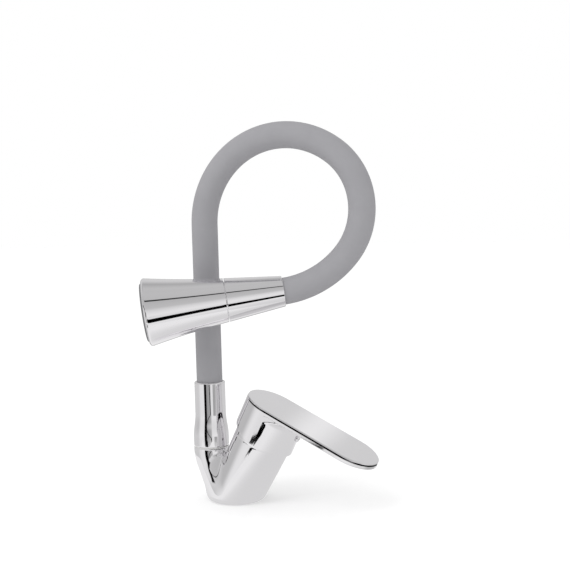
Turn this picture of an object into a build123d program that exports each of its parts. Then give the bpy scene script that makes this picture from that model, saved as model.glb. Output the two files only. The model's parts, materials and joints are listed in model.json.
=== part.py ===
from build123d import *
from math import cos, radians, sin, tan
import os

# Single lever kitchen mixer tap with a bendable hose spout and a conical two-part spray head.
# Millimetres. Origin: centre of the base on the deck, +Z up, +X towards the lever's tip.

# Driving sizes: mixer body
base_radius = 23.0
base_edge_round = 4.5
hub_tilt = 26.2
neck_radius = 21.3
neck_level = 54.5
hub_stretch = 3.0
collar_radius = 19.6
collar_height = 5.8
nut_sink = 0.4
spout_offset = -19.9
seat_level = 41.3
seat_radius = 13.9
stud_hole_radius = 3.4
stud_hole_depth = 13.0
inlet_radius = 4.5
inlet_depth = 12.0
inlet_spacing = 11.0
waterway_radius = 2.8
deck_seal_inner = 18.0
deck_seal_width = 2.6
deck_seal_height = 1.6

# Driving sizes: ceramic cartridge, levels are measured along the tilted lever axis
cartridge_radius = 17.5
cartridge_floor = 26.0
cartridge_base_height = 3.0
fixed_disc_radius = 13.4
fixed_disc_height = 4.0
moving_disc_radius = 10.2
moving_disc_height = 3.5
carrier_height = 7.5
housing_wall = 2.2
turret_neck_radius = 12.1
turret_flange_height = 3.7
turret_top = 61.6
pivot_level = 58.0
finger_length = 16.5
finger_ball_radius = 3.2
lever_travel = 18.0
stem_width = 8.0
stem_top = 78.0
pin_radius = 1.5
nut_thread_radius = 18.4
nut_height = 5.4
port_radius = 2.6
port_forward = 3.5
port_side = 7.0
outlet_back = 6.5

# Driving sizes: cover ring and lever
ring_wall = 1.35
ring_height = 8.6
handle_top = 85.9
plate_thickness = 4.2
plate_edge = 0.8
plate_radius = 23.5
plate_reach = 68.0
skirt_level = 55.0
skirt_wall = 1.4
skirt_ceiling = 80.2
under_round = 5.0
boss_radius = 8.5
boss_level = 66.0
grub_radius = 2.5
grub_length = 6.0
grub_level = 71.0
plug_radius = 3.0
plug_stand = 1.8

# Driving sizes: spout socket and swivel
washer_height = 0.6
socket_collar_radius = 13.95
socket_tube_radius = 12.2
socket_top = 93.3
shoulder_low = 55.0
shoulder_high = 61.5
spigot_radius = 9.55
spigot_bore = 6.0
spigot_foot = 27.5
spigot_top = 66.0
seal_low = 48.2
seal_high = 54.2
seal_section = 0.75
seal_depth = 1.4
glide_low = 44.0
glide_high = 60.0
glide_height = 2.4
glide_depth = 0.9
snap_level = 63.6
snap_height = 1.1
snap_reach = 1.1
snap_depth = 0.9

# Driving sizes: bendable arm
sleeve_radius = 10.25
core_radius = 7.0
core_bore = 4.75
ferrule_level = 67.0
ferrule_flange = 4.0
barb_length = 8.0
rise_top = 218.0
loop_azimuth = 4.0
first_radius = 67.0
first_turn = 128.0
second_radius = 54.0
second_turn = 90.0
third_radius = 69.0
head_azimuth = 28.0
head_slope = 7.0
bend_start = 35.0
bend_end = 85.0

# Driving sizes: spray head, lengths are measured along its axis from the hose end
head_entry = 10.0
rear_end_radius = 11.7
seam_radius = 16.7
rear_length = 43.5
front_length = 105.5
front_radius = 25.9
front_round = 2.5
shell_wall = 2.2
seam_gap = 0.5
flare_start = 6.4
coupling_length = 17.0
spray_chamber = 7.0
selector_height = 2.8
face_stand = 1.0
face_height = 6.0
face_radius = 22.3
lip_length = 7.5
aerator_radius = 9.8
nozzle_radius = 1.1
inner_nozzles = 10
outer_nozzles = 16
nozzle_sides = 8
mat_height = 2.5

# Clearances
turn_gap = 0.05
seat_gap = 0.02
slide_gap = 0.25
hose_gap = 0.1
cover_gap = 0.15

# Directions and planes of the lever hub
hub_dir = Vector(sin(radians(hub_tilt)), 0, cos(radians(hub_tilt)))
hub_forward = Vector(cos(radians(hub_tilt)), 0, -sin(radians(hub_tilt)))
hub_axis = Axis((0, 0, 0), hub_dir)
hub_profile = Plane(origin=(0, 0, 0), x_dir=hub_dir, z_dir=(0, 1, 0))


def hub_level(height):
    """Plane square to the lever axis, x forward and y to the side."""
    return Plane(origin=hub_dir * height, x_dir=hub_forward, z_dir=hub_dir)


def hub_point(forward, side, height):
    return hub_dir * height + hub_forward * forward + Vector(0, side, 0)


# Axis and profile plane of the spout
spout_axis = Axis((spout_offset, 0, 0), (0, 0, 1))
spout_profile = Plane(origin=(spout_offset, 0, 0), x_dir=(0, 0, 1), z_dir=(0, 1, 0))


def spout_level(height):
    return Plane(origin=(spout_offset, 0, height), x_dir=(1, 0, 0), z_dir=(0, 0, 1))


def bend(start, heading, inward, radius, angle):
    """Middle point, end point and end heading of an arc that turns a heading inward."""
    points = []
    for share in (0.5, 1.0):
        turn = radians(angle * share)
        points.append(start + inward * (radius * (1 - cos(turn))) + heading * (radius * sin(turn)))
    turn = radians(angle)
    return points[0], points[1], heading * cos(turn) + inward * sin(turn)


# Route of the arm: a riser, three tangent arcs and a short straight into the head
loop_forward = Vector(cos(radians(loop_azimuth)), sin(radians(loop_azimuth)), 0)
upward = Vector(0, 0, 1)
head_dir = Vector(
    -cos(radians(head_slope)) * cos(radians(head_azimuth)),
    -cos(radians(head_slope)) * sin(radians(head_azimuth)),
    -sin(radians(head_slope)),
)
core_start = ferrule_level + ferrule_flange + hose_gap
rise_start = Vector(spout_offset, 0, core_start)
rise_end = Vector(spout_offset, 0, rise_top)
low_mid, low_end, low_heading = bend(rise_end, upward, loop_forward, first_radius, bend_start)
low_inward = loop_forward * cos(radians(bend_start)) - upward * sin(radians(bend_start))
flex_turn = bend_end - bend_start
flex_mid, flex_end, flex_heading = bend(low_end, low_heading, low_inward, first_radius, flex_turn)
top_inward = loop_forward * cos(radians(bend_end)) - upward * sin(radians(bend_end))
top_mid, top_end, top_heading = bend(
    flex_end, flex_heading, top_inward, first_radius, first_turn - bend_end
)
side_inward = loop_forward * cos(radians(first_turn)) - upward * sin(radians(first_turn))
side_mid, side_end, side_heading = bend(
    top_end, top_heading, side_inward, second_radius, second_turn
)
return_turn = side_heading.get_angle(head_dir)
return_inward = (head_dir - side_heading * side_heading.dot(head_dir)).normalized()
return_mid, head_start, return_heading = bend(
    side_end, side_heading, return_inward, third_radius, return_turn
)
arm_end = head_start + head_dir * head_entry
print("arm radii", first_radius, second_radius, third_radius, "last turn", round(return_turn, 1))
print("head starts at", head_start, "bend pivot", flex_mid)

# Axis and planes of the spray head
head_axis = Axis(head_start, head_dir)
head_side = head_dir.cross(upward).normalized()
head_profile = Plane(origin=head_start, x_dir=head_dir, z_dir=head_side)


def head_level(distance):
    return Plane(origin=head_start + head_dir * distance, x_dir=head_side, z_dir=head_dir)


# Leg of the mixer body that carries the spout seat, through circles
# Each gives its share of the seat's level and offset, and of the step from base to seat radius
leg_sections = ((0.0, 0.06, 0.09), (0.29, 0.3, 0.44), (0.596, 0.749, 0.824), (0.8, 0.95, 0.956))
with BuildPart() as leg:
    for level_share, offset_share, radius_share in leg_sections:
        with BuildSketch(Plane.XY.offset(seat_level * level_share)):
            with Locations((spout_offset * offset_share, 0)):
                Circle(base_radius + (seat_radius - base_radius) * radius_share)
    with BuildSketch(spout_level(seat_level)):
        Circle(seat_radius)
    loft()
    fillet(leg.edges().group_by(Axis.Z)[0], base_edge_round)

# Mixer body: base and tilted hub in one casting with the leg
cavity_radius = cartridge_radius + cover_gap
collar_top = neck_level + collar_height
with BuildPart() as body:
    with BuildSketch(Plane.XY):
        Circle(base_radius)
    with BuildSketch(hub_level(neck_level)):
        with Locations((hub_stretch / 2, 0)):
            Ellipse(neck_radius + hub_stretch / 2, neck_radius)
    loft()
    fillet(body.edges().group_by(Axis.Z)[0], base_edge_round)
    add(leg.part)
    with BuildSketch(hub_level(neck_level)):
        Circle(collar_radius)
    extrude(amount=collar_height)
    # Cartridge cavity and the threaded mouth above it
    with BuildSketch(hub_level(cartridge_floor)):
        Circle(cavity_radius)
    extrude(amount=collar_top - cartridge_floor + 1, mode=Mode.SUBTRACT)
    with BuildSketch(hub_level(neck_level - nut_sink)):
        Circle(nut_thread_radius)
    extrude(amount=collar_height + 1, mode=Mode.SUBTRACT)
    # Spout spigot bore
    with BuildSketch(spout_level(spigot_foot)):
        Circle(spigot_radius + seat_gap)
    extrude(amount=seat_level - spigot_foot + 1, mode=Mode.SUBTRACT)
    # Fixing stud hole and the two hose inlets, all from the underside
    with BuildSketch(Plane.XY):
        Circle(stud_hole_radius)
    extrude(amount=stud_hole_depth, mode=Mode.SUBTRACT)
    with BuildSketch(Plane.XY):
        with Locations((0, -inlet_spacing), (0, inlet_spacing)):
            Circle(inlet_radius)
    extrude(amount=inlet_depth, mode=Mode.SUBTRACT)
    # Groove of the deck seal
    with BuildSketch(Plane.XY):
        Circle(deck_seal_inner)
        Circle(deck_seal_inner - deck_seal_width, mode=Mode.SUBTRACT)
    extrude(amount=deck_seal_height, mode=Mode.SUBTRACT)
    # Waterways from the inlets to the cavity floor
    for side in (-1, 1):
        inlet_end = Vector(0, side * inlet_spacing, inlet_depth - 1.5)
        port = hub_point(port_forward, side * port_side, cartridge_floor + 1)
        with BuildSketch(Plane(origin=inlet_end, z_dir=port - inlet_end)):
            Circle(waterway_radius)
        extrude(amount=(port - inlet_end).length, mode=Mode.SUBTRACT)
    # Waterway of the mixed water to the spout
    outlet_start = Vector(spout_offset, 0, spigot_foot + 2.0)
    outlet_port = hub_point(-outlet_back, 0, cartridge_floor + 0.5)
    with BuildSketch(Plane(origin=outlet_start, z_dir=outlet_port - outlet_start)):
        Circle(waterway_radius)
    extrude(amount=(outlet_port - outlet_start).length, mode=Mode.SUBTRACT)
body.part.label = "mixer_body"

# Rubber seal between base and deck
with BuildPart() as deck_seal:
    with BuildSketch(Plane.XY):
        Circle(deck_seal_inner - hose_gap)
        Circle(deck_seal_inner - deck_seal_width + hose_gap, mode=Mode.SUBTRACT)
    extrude(amount=deck_seal_height - seat_gap)
deck_seal.part.label = "deck_seal"

# Cartridge base with three ports
base_bottom = cartridge_floor + seat_gap
base_top = cartridge_floor + cartridge_base_height
seal_pocket_radius = port_radius + 1.3
seal_pocket_depth = 1.6
inlet_ports = [(port_forward, -port_side), (port_forward, port_side)]
outlet_ports = [(-outlet_back, 0)]
with BuildPart() as cartridge_base:
    with BuildSketch(hub_level(base_bottom)):
        Circle(cartridge_radius)
        with Locations(inlet_ports + outlet_ports):
            Circle(port_radius, mode=Mode.SUBTRACT)
    extrude(amount=base_top - base_bottom)
    with BuildSketch(hub_level(base_bottom)):
        with Locations(inlet_ports + outlet_ports):
            Circle(seal_pocket_radius)
    extrude(amount=seal_pocket_depth, mode=Mode.SUBTRACT)
cartridge_base.part.label = "cartridge_base"

# Three rubber rings in the port pockets
with BuildPart() as port_seals:
    with BuildSketch(hub_level(base_bottom)):
        with Locations(inlet_ports + outlet_ports):
            Circle(seal_pocket_radius - turn_gap)
            Circle(port_radius, mode=Mode.SUBTRACT)
    extrude(amount=seal_pocket_depth - seat_gap)
port_seals.part.label = "port_seals"

# Fixed ceramic disc, keyed by two notches at its sides
disc_bottom = base_top + seat_gap
disc_top = disc_bottom + fixed_disc_height
with BuildPart() as fixed_disc:
    with BuildSketch(hub_level(disc_bottom)):
        Circle(fixed_disc_radius)
        with Locations(inlet_ports + outlet_ports):
            Circle(port_radius, mode=Mode.SUBTRACT)
        with Locations((0, -fixed_disc_radius), (0, fixed_disc_radius)):
            Circle(1.4, mode=Mode.SUBTRACT)
    extrude(amount=fixed_disc_height)
fixed_disc.part.label = "fixed_ceramic_disc"

# Moving ceramic disc with the mixing pocket in its underside
ball_level = pivot_level - finger_length
half_travel = radians(lever_travel / 2)
disc_slide = 2 * finger_length * sin(half_travel)
disc_rest = -disc_slide / 2
moving_bottom = disc_top + seat_gap
moving_top = moving_bottom + moving_disc_height
with BuildPart() as moving_disc:
    with BuildSketch(hub_level(moving_bottom)):
        with Locations((disc_rest, 0)):
            Circle(moving_disc_radius)
    extrude(amount=moving_disc_height)
    with BuildSketch(hub_level(moving_bottom)):
        with Locations((disc_rest, 0)):
            SlotOverall(13.0, 7.0)
    extrude(amount=1.8, mode=Mode.SUBTRACT)
moving_disc.part.label = "moving_ceramic_disc"

# Carrier that grips the moving disc and takes the ball of the lever's finger
carrier_bottom = moving_top + seat_gap
carrier_top = carrier_bottom + carrier_height
pocket_floor = ball_level - finger_ball_radius - 0.5
with BuildPart() as disc_carrier:
    with BuildSketch(hub_level(carrier_bottom)):
        with Locations((disc_rest, 0)):
            Circle(moving_disc_radius)
    extrude(amount=carrier_height)
    with BuildSketch(hub_level(pocket_floor)):
        with Locations((disc_rest, 0)):
            Rectangle(2 * (finger_ball_radius + slide_gap), 2 * finger_ball_radius + 3.0)
    extrude(amount=carrier_top - pocket_floor + 1, mode=Mode.SUBTRACT)
disc_carrier.part.label = "disc_carrier"

# Cartridge housing: keeps the fixed disc centred and the turret down
housing_bottom = base_top + seat_gap
housing_top = neck_level - nut_sink
housing_inner = cartridge_radius - housing_wall
flange_bottom = carrier_top + 0.3
flange_top = flange_bottom + turret_flange_height
lip_bottom = flange_top + turn_gap
neck_hole = turret_neck_radius + turn_gap + 0.1
with BuildPart() as cartridge_housing:
    with BuildSketch(hub_profile):
        with BuildLine():
            Polyline(
                (housing_bottom, fixed_disc_radius + turn_gap),
                (housing_bottom, cartridge_radius),
                (housing_top, cartridge_radius),
                (housing_top, neck_hole),
                (lip_bottom, neck_hole),
                (lip_bottom, housing_inner),
                (disc_top, housing_inner),
                (disc_top, fixed_disc_radius + turn_gap),
                close=True,
            )
        make_face()
    revolve(axis=hub_axis)
cartridge_housing.part.label = "cartridge_housing"

# Turret: turns with the lever, slotted for the stem and drilled for its pin
flange_radius = housing_inner - turn_gap
slot_width = stem_width + 0.3
slot_length = 14.0
pin_plane = Plane(origin=hub_point(0, 0, pivot_level), x_dir=hub_forward, z_dir=(0, 1, 0))
with BuildPart() as turret:
    with BuildSketch(hub_level(flange_bottom)):
        Circle(flange_radius)
    extrude(amount=turret_flange_height)
    with BuildSketch(hub_level(flange_top)):
        Circle(turret_neck_radius)
    extrude(amount=turret_top - flange_top)
    with BuildSketch(hub_level(flange_bottom)):
        Rectangle(slot_length, slot_width)
    extrude(amount=turret_top - flange_bottom, mode=Mode.SUBTRACT)
    with BuildSketch(pin_plane):
        Circle(pin_radius + seat_gap)
    extrude(amount=turret_neck_radius + 1, both=True, mode=Mode.SUBTRACT)
turret.part.label = "cartridge_turret"

# Hinge pin of the lever stem
with BuildPart() as stem_pin:
    with BuildSketch(pin_plane):
        Circle(pin_radius)
    extrude(amount=turret_neck_radius - 0.6, both=True)
stem_pin.part.label = "stem_pin"

# Lever stem: square shank above the pin, leaning finger with a ball below it
ball_centre = hub_point(disc_rest, 0, pivot_level - finger_length * cos(half_travel))
finger_dir = (ball_centre - hub_point(0, 0, pivot_level)).normalized()
stem_low = pivot_level - 6.0
with BuildPart() as lever_stem:
    with BuildSketch(hub_level(stem_low)):
        RectangleRounded(stem_width, stem_width, 1.0)
    extrude(amount=stem_top - stem_low)
    with BuildSketch(Plane(origin=hub_point(0, 0, pivot_level - 2), z_dir=finger_dir)):
        Circle(2.4)
    extrude(amount=finger_length - 2)
    with Locations(ball_centre):
        Sphere(finger_ball_radius)
    with BuildSketch(pin_plane):
        Circle(pin_radius + turn_gap)
    extrude(amount=stem_width, both=True, mode=Mode.SUBTRACT)
lever_stem.part.label = "lever_stem"

# Ring nut that holds the cartridge down, with six spanner notches
nut_bottom = housing_top + seat_gap
nut_inner = turret_neck_radius + 0.8
with BuildPart() as retaining_nut:
    with BuildSketch(hub_level(nut_bottom)):
        Circle(nut_thread_radius - turn_gap)
        Circle(nut_inner, mode=Mode.SUBTRACT)
        with PolarLocations(nut_inner, 6):
            Rectangle(3.0, 3.2, mode=Mode.SUBTRACT)
    extrude(amount=nut_height)
retaining_nut.part.label = "retaining_nut"

# Cover ring between body and lever skirt
skirt_inner = plate_radius - skirt_wall
ring_radius = skirt_inner - 0.7
ring_bottom = neck_level + seat_gap
ring_top = neck_level + ring_height
ring_bore = collar_radius + cover_gap
ring_crown = collar_top + 0.4
ring_mouth = turret_neck_radius + 1.1
with BuildPart() as cover_ring:
    with BuildSketch(hub_profile):
        with BuildLine():
            Polyline(
                (ring_bottom, ring_bore),
                (ring_bottom, ring_bore + ring_wall),
                (ring_crown, ring_radius),
                (ring_top - 1.0, ring_radius - 0.5),
                (ring_top, ring_radius - 2.0),
                (ring_top, ring_mouth),
                (ring_top - 1.2, ring_mouth),
                (ring_crown, ring_bore),
                close=True,
            )
        make_face()
    revolve(axis=hub_axis)
cover_ring.part.label = "cover_ring"

# Lever: flat rounded plate, hollow skirt and a boss with a square socket
plate_low = handle_top - plate_thickness
skirt_outer = plate_radius
rear_cut = skirt_outer + 1.0
rear_rise = rear_cut * tan(radians(lever_travel))
socket_width = stem_width + 0.1
with BuildPart() as lever_handle:
    # Hollow round that runs from the skirt into the underside of the plate
    with BuildSketch(hub_profile):
        with BuildLine():
            Line((plate_low - under_round, 0), (plate_low - under_round, skirt_outer))
            CenterArc((plate_low - under_round, skirt_outer + under_round), under_round, -90, 90)
            Line((plate_low, skirt_outer + under_round), (plate_low, 0))
            Line((plate_low, 0), (plate_low - under_round, 0))
        make_face()
    revolve(axis=hub_axis)
    with BuildSketch(hub_level(plate_low - under_round)):
        with Locations((plate_reach / 2, 0)):
            SlotCenterToCenter(plate_reach, 2 * plate_radius)
    extrude(amount=under_round, mode=Mode.INTERSECT)
    # Skirt, a little longer than it is wide
    with BuildSketch(hub_level(skirt_level)):
        with Locations((hub_stretch / 2, 0)):
            SlotCenterToCenter(hub_stretch, 2 * skirt_outer)
    extrude(amount=plate_low - skirt_level)
    # Plate
    with BuildSketch(hub_level(plate_low)):
        with Locations((plate_reach / 2, 0)):
            SlotCenterToCenter(plate_reach, 2 * plate_radius)
    extrude(amount=plate_thickness)
    plate_edges = lever_handle.faces().sort_by(hub_axis)[-1].edges()
    chamfer(plate_edges, plate_edge)
    # Hollow of the skirt around the boss
    with BuildSketch(hub_level(skirt_level)):
        with Locations((hub_stretch / 2, 0)):
            SlotCenterToCenter(hub_stretch, 2 * skirt_inner)
    extrude(amount=skirt_ceiling - skirt_level, mode=Mode.SUBTRACT)
    with BuildSketch(hub_level(boss_level)):
        Circle(boss_radius)
    extrude(amount=skirt_ceiling - boss_level + 0.5)
    with BuildSketch(hub_level(boss_level)):
        Rectangle(socket_width, socket_width)
    extrude(amount=stem_top + 0.2 - boss_level, mode=Mode.SUBTRACT)
    # Slanted cut at the rear of the skirt, level with the body when the lever is raised
    with BuildSketch(hub_profile):
        Polygon(
            (skirt_level, 0),
            (skirt_level + rear_rise, -rear_cut),
            (skirt_level - 1.0, -rear_cut),
            (skirt_level - 1.0, 0),
            align=None,
        )
    extrude(amount=rear_cut, both=True, mode=Mode.SUBTRACT)
    # Grub screw hole, from the front of the skirt into the socket
    with BuildSketch(Plane(origin=hub_point(0, 0, grub_level), z_dir=hub_forward)):
        Circle(grub_radius + seat_gap)
    extrude(amount=plate_radius + hub_stretch + 2, mode=Mode.SUBTRACT)
lever_handle.part.label = "lever_handle"

# Grub screw that clamps the lever on its stem, with a hexagon socket
grub_start = stem_width / 2 + 0.02
with BuildPart() as grub_screw:
    with BuildSketch(Plane(origin=hub_point(grub_start, 0, grub_level), z_dir=hub_forward)):
        Circle(grub_radius)
    extrude(amount=grub_length)
    with BuildSketch(Plane(origin=hub_point(grub_start + grub_length, 0, grub_level), z_dir=hub_forward)):
        RegularPolygon(1.25, 6)
    extrude(amount=-2.5, mode=Mode.SUBTRACT)
grub_screw.part.label = "grub_screw"

# Round plug in front of the grub screw
skirt_front = plate_radius + hub_stretch
plug_profile = Plane(origin=hub_point(0, 0, grub_level), x_dir=hub_forward, z_dir=(0, 1, 0))
with BuildPart() as cover_plug:
    with BuildSketch(plug_profile):
        with BuildLine():
            Polyline(
                (skirt_front - skirt_wall - 1.0, 0),
                (skirt_front - skirt_wall - 1.0, grub_radius - turn_gap),
                (skirt_front + seat_gap, grub_radius - turn_gap),
                (skirt_front + seat_gap, plug_radius),
                (skirt_front + plug_stand - 0.6, plug_radius),
                (skirt_front + plug_stand, plug_radius - 0.6),
                (skirt_front + plug_stand, 0.9),
                (skirt_front + plug_stand - 1.0, 0.9),
                (skirt_front + plug_stand - 1.0, 0),
                close=True,
            )
        make_face()
    revolve(axis=Axis(hub_point(0, 0, grub_level), hub_forward))
cover_plug.part.label = "cover_plug"

# Thin washer that the spout socket turns on
washer_top = seat_level + washer_height
with BuildPart() as swivel_washer:
    with BuildSketch(spout_level(seat_level)):
        Circle(seat_radius - 0.5)
        Circle(spigot_radius + turn_gap, mode=Mode.SUBTRACT)
    extrude(amount=washer_height)
swivel_washer.part.label = "swivel_washer"

# Spigot: hollow brass stub, pressed in the body, that the spout turns on
seal_groove = spigot_radius - seal_depth
glide_groove = spigot_radius - glide_depth
snap_groove = spigot_radius - snap_depth
seal_groove_half = seal_section + 0.25
with BuildPart() as spout_spigot:
    with BuildSketch(spout_profile):
        with BuildLine():
            Polyline(
                (spigot_foot, spigot_bore),
                (spigot_foot, spigot_radius),
                (spigot_top, spigot_radius),
                (spigot_top, spigot_bore),
                close=True,
            )
        make_face()
        for level in (seal_low, seal_high):
            with Locations((level, spigot_radius)):
                Rectangle(2 * seal_groove_half, 2 * seal_depth, mode=Mode.SUBTRACT)
        for level in (glide_low, glide_high):
            with Locations((level, spigot_radius)):
                Rectangle(glide_height + 2 * seat_gap, 2 * glide_depth, mode=Mode.SUBTRACT)
        with Locations((snap_level, spigot_radius)):
            Rectangle(snap_height + 2 * hose_gap, 2 * snap_depth, mode=Mode.SUBTRACT)
    revolve(axis=spout_axis)
    # Side port for the mixed water
    with BuildSketch(Plane(origin=outlet_start, z_dir=outlet_port - outlet_start)):
        Circle(waterway_radius)
    extrude(amount=2 * spigot_radius, mode=Mode.SUBTRACT)
spout_spigot.part.label = "spout_spigot"

# Plastic glide rings in the outer grooves of the spigot
with BuildPart() as glide_rings:
    with BuildSketch(spout_profile):
        for level in (glide_low, glide_high):
            with Locations((level, glide_groove + seat_gap + glide_depth / 2)):
                Rectangle(glide_height, glide_depth)
    revolve(axis=spout_axis)
glide_rings.part.label = "glide_rings"

# Two O-rings in the grooves between them
with BuildPart() as spout_o_rings:
    with BuildSketch(spout_profile):
        for level in (seal_low, seal_high):
            with Locations((level, seal_groove + seat_gap + seal_section)):
                RegularPolygon(seal_section, 6)
    revolve(axis=spout_axis)
spout_o_rings.part.label = "spout_o_rings"

# Spout socket: swivelling collar below, tube that grips the arm above
socket_bottom = washer_top + seat_gap
socket_bore = spigot_radius + 0.15
hose_bore = sleeve_radius + cover_gap
hose_seat = spigot_top + 0.4
snap_pocket = spigot_radius + snap_reach + 0.1
with BuildPart() as spout_socket:
    with BuildSketch(spout_profile):
        with BuildLine():
            Polyline(
                (socket_bottom, socket_bore),
                (socket_bottom, socket_collar_radius - 0.4),
                (socket_bottom + 1.5, socket_collar_radius),
                (shoulder_low, socket_collar_radius),
            )
            Spline(
                (shoulder_low, socket_collar_radius),
                (shoulder_high, socket_tube_radius),
                tangents=((1, 0), (1, 0)),
            )
            Polyline(
                (shoulder_high, socket_tube_radius),
                (socket_top - 1.0, socket_tube_radius),
                (socket_top, socket_tube_radius - 1.0),
                (socket_top, hose_bore),
                (hose_seat, hose_bore),
                (hose_seat, socket_bore),
                (socket_bottom, socket_bore),
            )
        make_face()
        with Locations((snap_level, socket_bore)):
            Rectangle(snap_height + 2 * hose_gap, 2 * (snap_pocket - socket_bore), mode=Mode.SUBTRACT)
    revolve(axis=spout_axis)
spout_socket.part.label = "spout_socket"

# Open snap ring that keeps the socket on the spigot
with BuildPart() as snap_ring:
    with BuildSketch(spout_level(snap_level - snap_height / 2)):
        Circle(spigot_radius + snap_reach)
        Circle(snap_groove + turn_gap, mode=Mode.SUBTRACT)
        with Locations((spigot_radius, 0)):
            Rectangle(6.0, 4.0, mode=Mode.SUBTRACT)
    extrude(amount=snap_height)
snap_ring.part.label = "snap_ring"

# Lower hose end: brass flange in the socket with a barb inside the core tube
ferrule_bore = core_bore - 1.35
with BuildPart() as lower_ferrule:
    with BuildSketch(spout_profile):
        with BuildLine():
            Polyline(
                (ferrule_level, ferrule_bore),
                (ferrule_level, hose_bore - turn_gap),
                (ferrule_level + ferrule_flange, hose_bore - turn_gap),
                (ferrule_level + ferrule_flange, core_bore - hose_gap),
                (ferrule_level + ferrule_flange + barb_length, core_bore - hose_gap),
                (ferrule_level + ferrule_flange + barb_length, ferrule_bore),
                close=True,
            )
        make_face()
    revolve(axis=spout_axis)
lower_ferrule.part.label = "lower_ferrule"

# Bendable arm: steel core tube and silicone sleeve, each in three stretches
rise_plane = Plane(origin=rise_start, x_dir=(1, 0, 0), z_dir=(0, 0, 1))
flex_plane = Plane(origin=low_end, x_dir=(0, 1, 0), z_dir=low_heading)
top_plane = Plane(origin=flex_end, x_dir=(0, 1, 0), z_dir=flex_heading)
sleeve_bore = core_radius + hose_gap

with BuildPart() as core_lower:
    with BuildLine() as lower_path:
        Line(rise_start, rise_end)
        ThreePointArc(rise_end, low_mid, low_end)
    with BuildSketch(rise_plane):
        Circle(core_radius)
        Circle(core_bore, mode=Mode.SUBTRACT)
    sweep(path=lower_path.line)
core_lower.part.label = "core_tube_lower"

with BuildPart() as core_bend:
    with BuildLine() as flex_path:
        ThreePointArc(low_end, flex_mid, flex_end)
    with BuildSketch(flex_plane):
        Circle(core_radius)
        Circle(core_bore, mode=Mode.SUBTRACT)
    sweep(path=flex_path.line)
core_bend.part.label = "core_tube_bend"

with BuildPart() as core_upper:
    with BuildLine() as upper_path:
        ThreePointArc(flex_end, top_mid, top_end)
        ThreePointArc(top_end, side_mid, side_end)
        ThreePointArc(side_end, return_mid, head_start)
        Line(head_start, arm_end)
    with BuildSketch(top_plane):
        Circle(core_radius)
        Circle(core_bore, mode=Mode.SUBTRACT)
    sweep(path=upper_path.line)
core_upper.part.label = "core_tube_upper"

with BuildPart() as sleeve_lower:
    with BuildSketch(rise_plane):
        Circle(sleeve_radius)
        Circle(sleeve_bore, mode=Mode.SUBTRACT)
    sweep(path=lower_path.line)
sleeve_lower.part.label = "sleeve_lower"

with BuildPart() as sleeve_bend:
    with BuildSketch(flex_plane):
        Circle(sleeve_radius)
        Circle(sleeve_bore, mode=Mode.SUBTRACT)
    sweep(path=flex_path.line)
sleeve_bend.part.label = "sleeve_bend"

with BuildPart() as sleeve_upper:
    with BuildSketch(top_plane):
        Circle(sleeve_radius)
        Circle(sleeve_bore, mode=Mode.SUBTRACT)
    sweep(path=upper_path.line)
sleeve_upper.part.label = "sleeve_upper"

# Upper hose end: barb inside the core tube, flange behind the swivel nut, sealing stub
upper_flange = head_entry + hose_gap
flange_end = upper_flange + 3.0
stub_radius = 8.0
stub_end = flange_end + 6.5
with BuildPart() as upper_ferrule:
    with BuildSketch(head_profile):
        with BuildLine():
            Polyline(
                (head_entry - barb_length, ferrule_bore),
                (head_entry - barb_length, core_bore - hose_gap),
                (upper_flange, core_bore - hose_gap),
                (upper_flange, sleeve_radius),
                (flange_end, sleeve_radius),
                (flange_end, stub_radius),
                (stub_end, stub_radius),
                (stub_end, ferrule_bore),
                close=True,
            )
        make_face()
    revolve(axis=head_axis)
upper_ferrule.part.label = "upper_ferrule"

# Rear shell of the spray head, with a spigot that enters the front shell
front_start = rear_length + seam_gap
tongue_end = rear_length + 6.5
tongue_radius = seam_radius - shell_wall - 0.35
coupling_start = flange_end + turn_gap
coupling_end = coupling_start + coupling_length
with BuildPart() as rear_shell:
    with BuildSketch(head_profile):
        with BuildLine():
            Polyline(
                (0, hose_bore + 0.05),
                (0, rear_end_radius - 0.4),
                (0.4, rear_end_radius),
                (rear_length - 0.3, seam_radius),
                (rear_length, seam_radius - 0.3),
                (rear_length, tongue_radius),
                (tongue_end, tongue_radius),
                (tongue_end, tongue_radius - 1.6),
                (rear_length - 4.0, tongue_radius - 1.6),
                (coupling_end, hose_bore + 0.05),
                close=True,
            )
        make_face()
    revolve(axis=head_axis)
rear_shell.part.label = "head_rear_shell"

# Swivel nut of the head: turns on the stub of the hose end
coupling_bore = 6.2
valve_seat = stub_end + 1.0
with BuildPart() as head_coupling:
    with BuildSketch(head_profile):
        with BuildLine():
            Polyline(
                (coupling_start, stub_radius + turn_gap),
                (coupling_start, hose_bore),
                (coupling_end, hose_bore),
                (coupling_end, coupling_bore),
                (valve_seat, coupling_bore),
                (valve_seat, stub_radius + turn_gap),
                close=True,
            )
        make_face()
    revolve(axis=head_axis)
head_coupling.part.label = "head_coupling"

# Filter washer between hose end and swivel nut
with BuildPart() as filter_washer:
    with BuildSketch(head_level(stub_end + turn_gap)):
        Circle(stub_radius)
        with Locations((0, 0)):
            Circle(1.0, mode=Mode.SUBTRACT)
        with PolarLocations(2.8, 6):
            Circle(0.9, mode=Mode.SUBTRACT)
    extrude(amount=valve_seat - stub_end - 2 * turn_gap)
filter_washer.part.label = "filter_washer"

# Non-return valve in the bore of the swivel nut
valve_start = valve_seat + 0.6
valve_length = 8.0
with BuildPart() as check_valve:
    with BuildSketch(head_profile):
        with BuildLine():
            Polyline(
                (valve_start, 4.2),
                (valve_start, coupling_bore - seat_gap),
                (valve_start + valve_length, coupling_bore - seat_gap),
                (valve_start + valve_length, 3.0),
                (valve_start + valve_length - 2.0, 3.0),
                (valve_start + 3.0, 4.2),
                close=True,
            )
        make_face()
    revolve(axis=head_axis)
check_valve.part.label = "check_valve"

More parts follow.
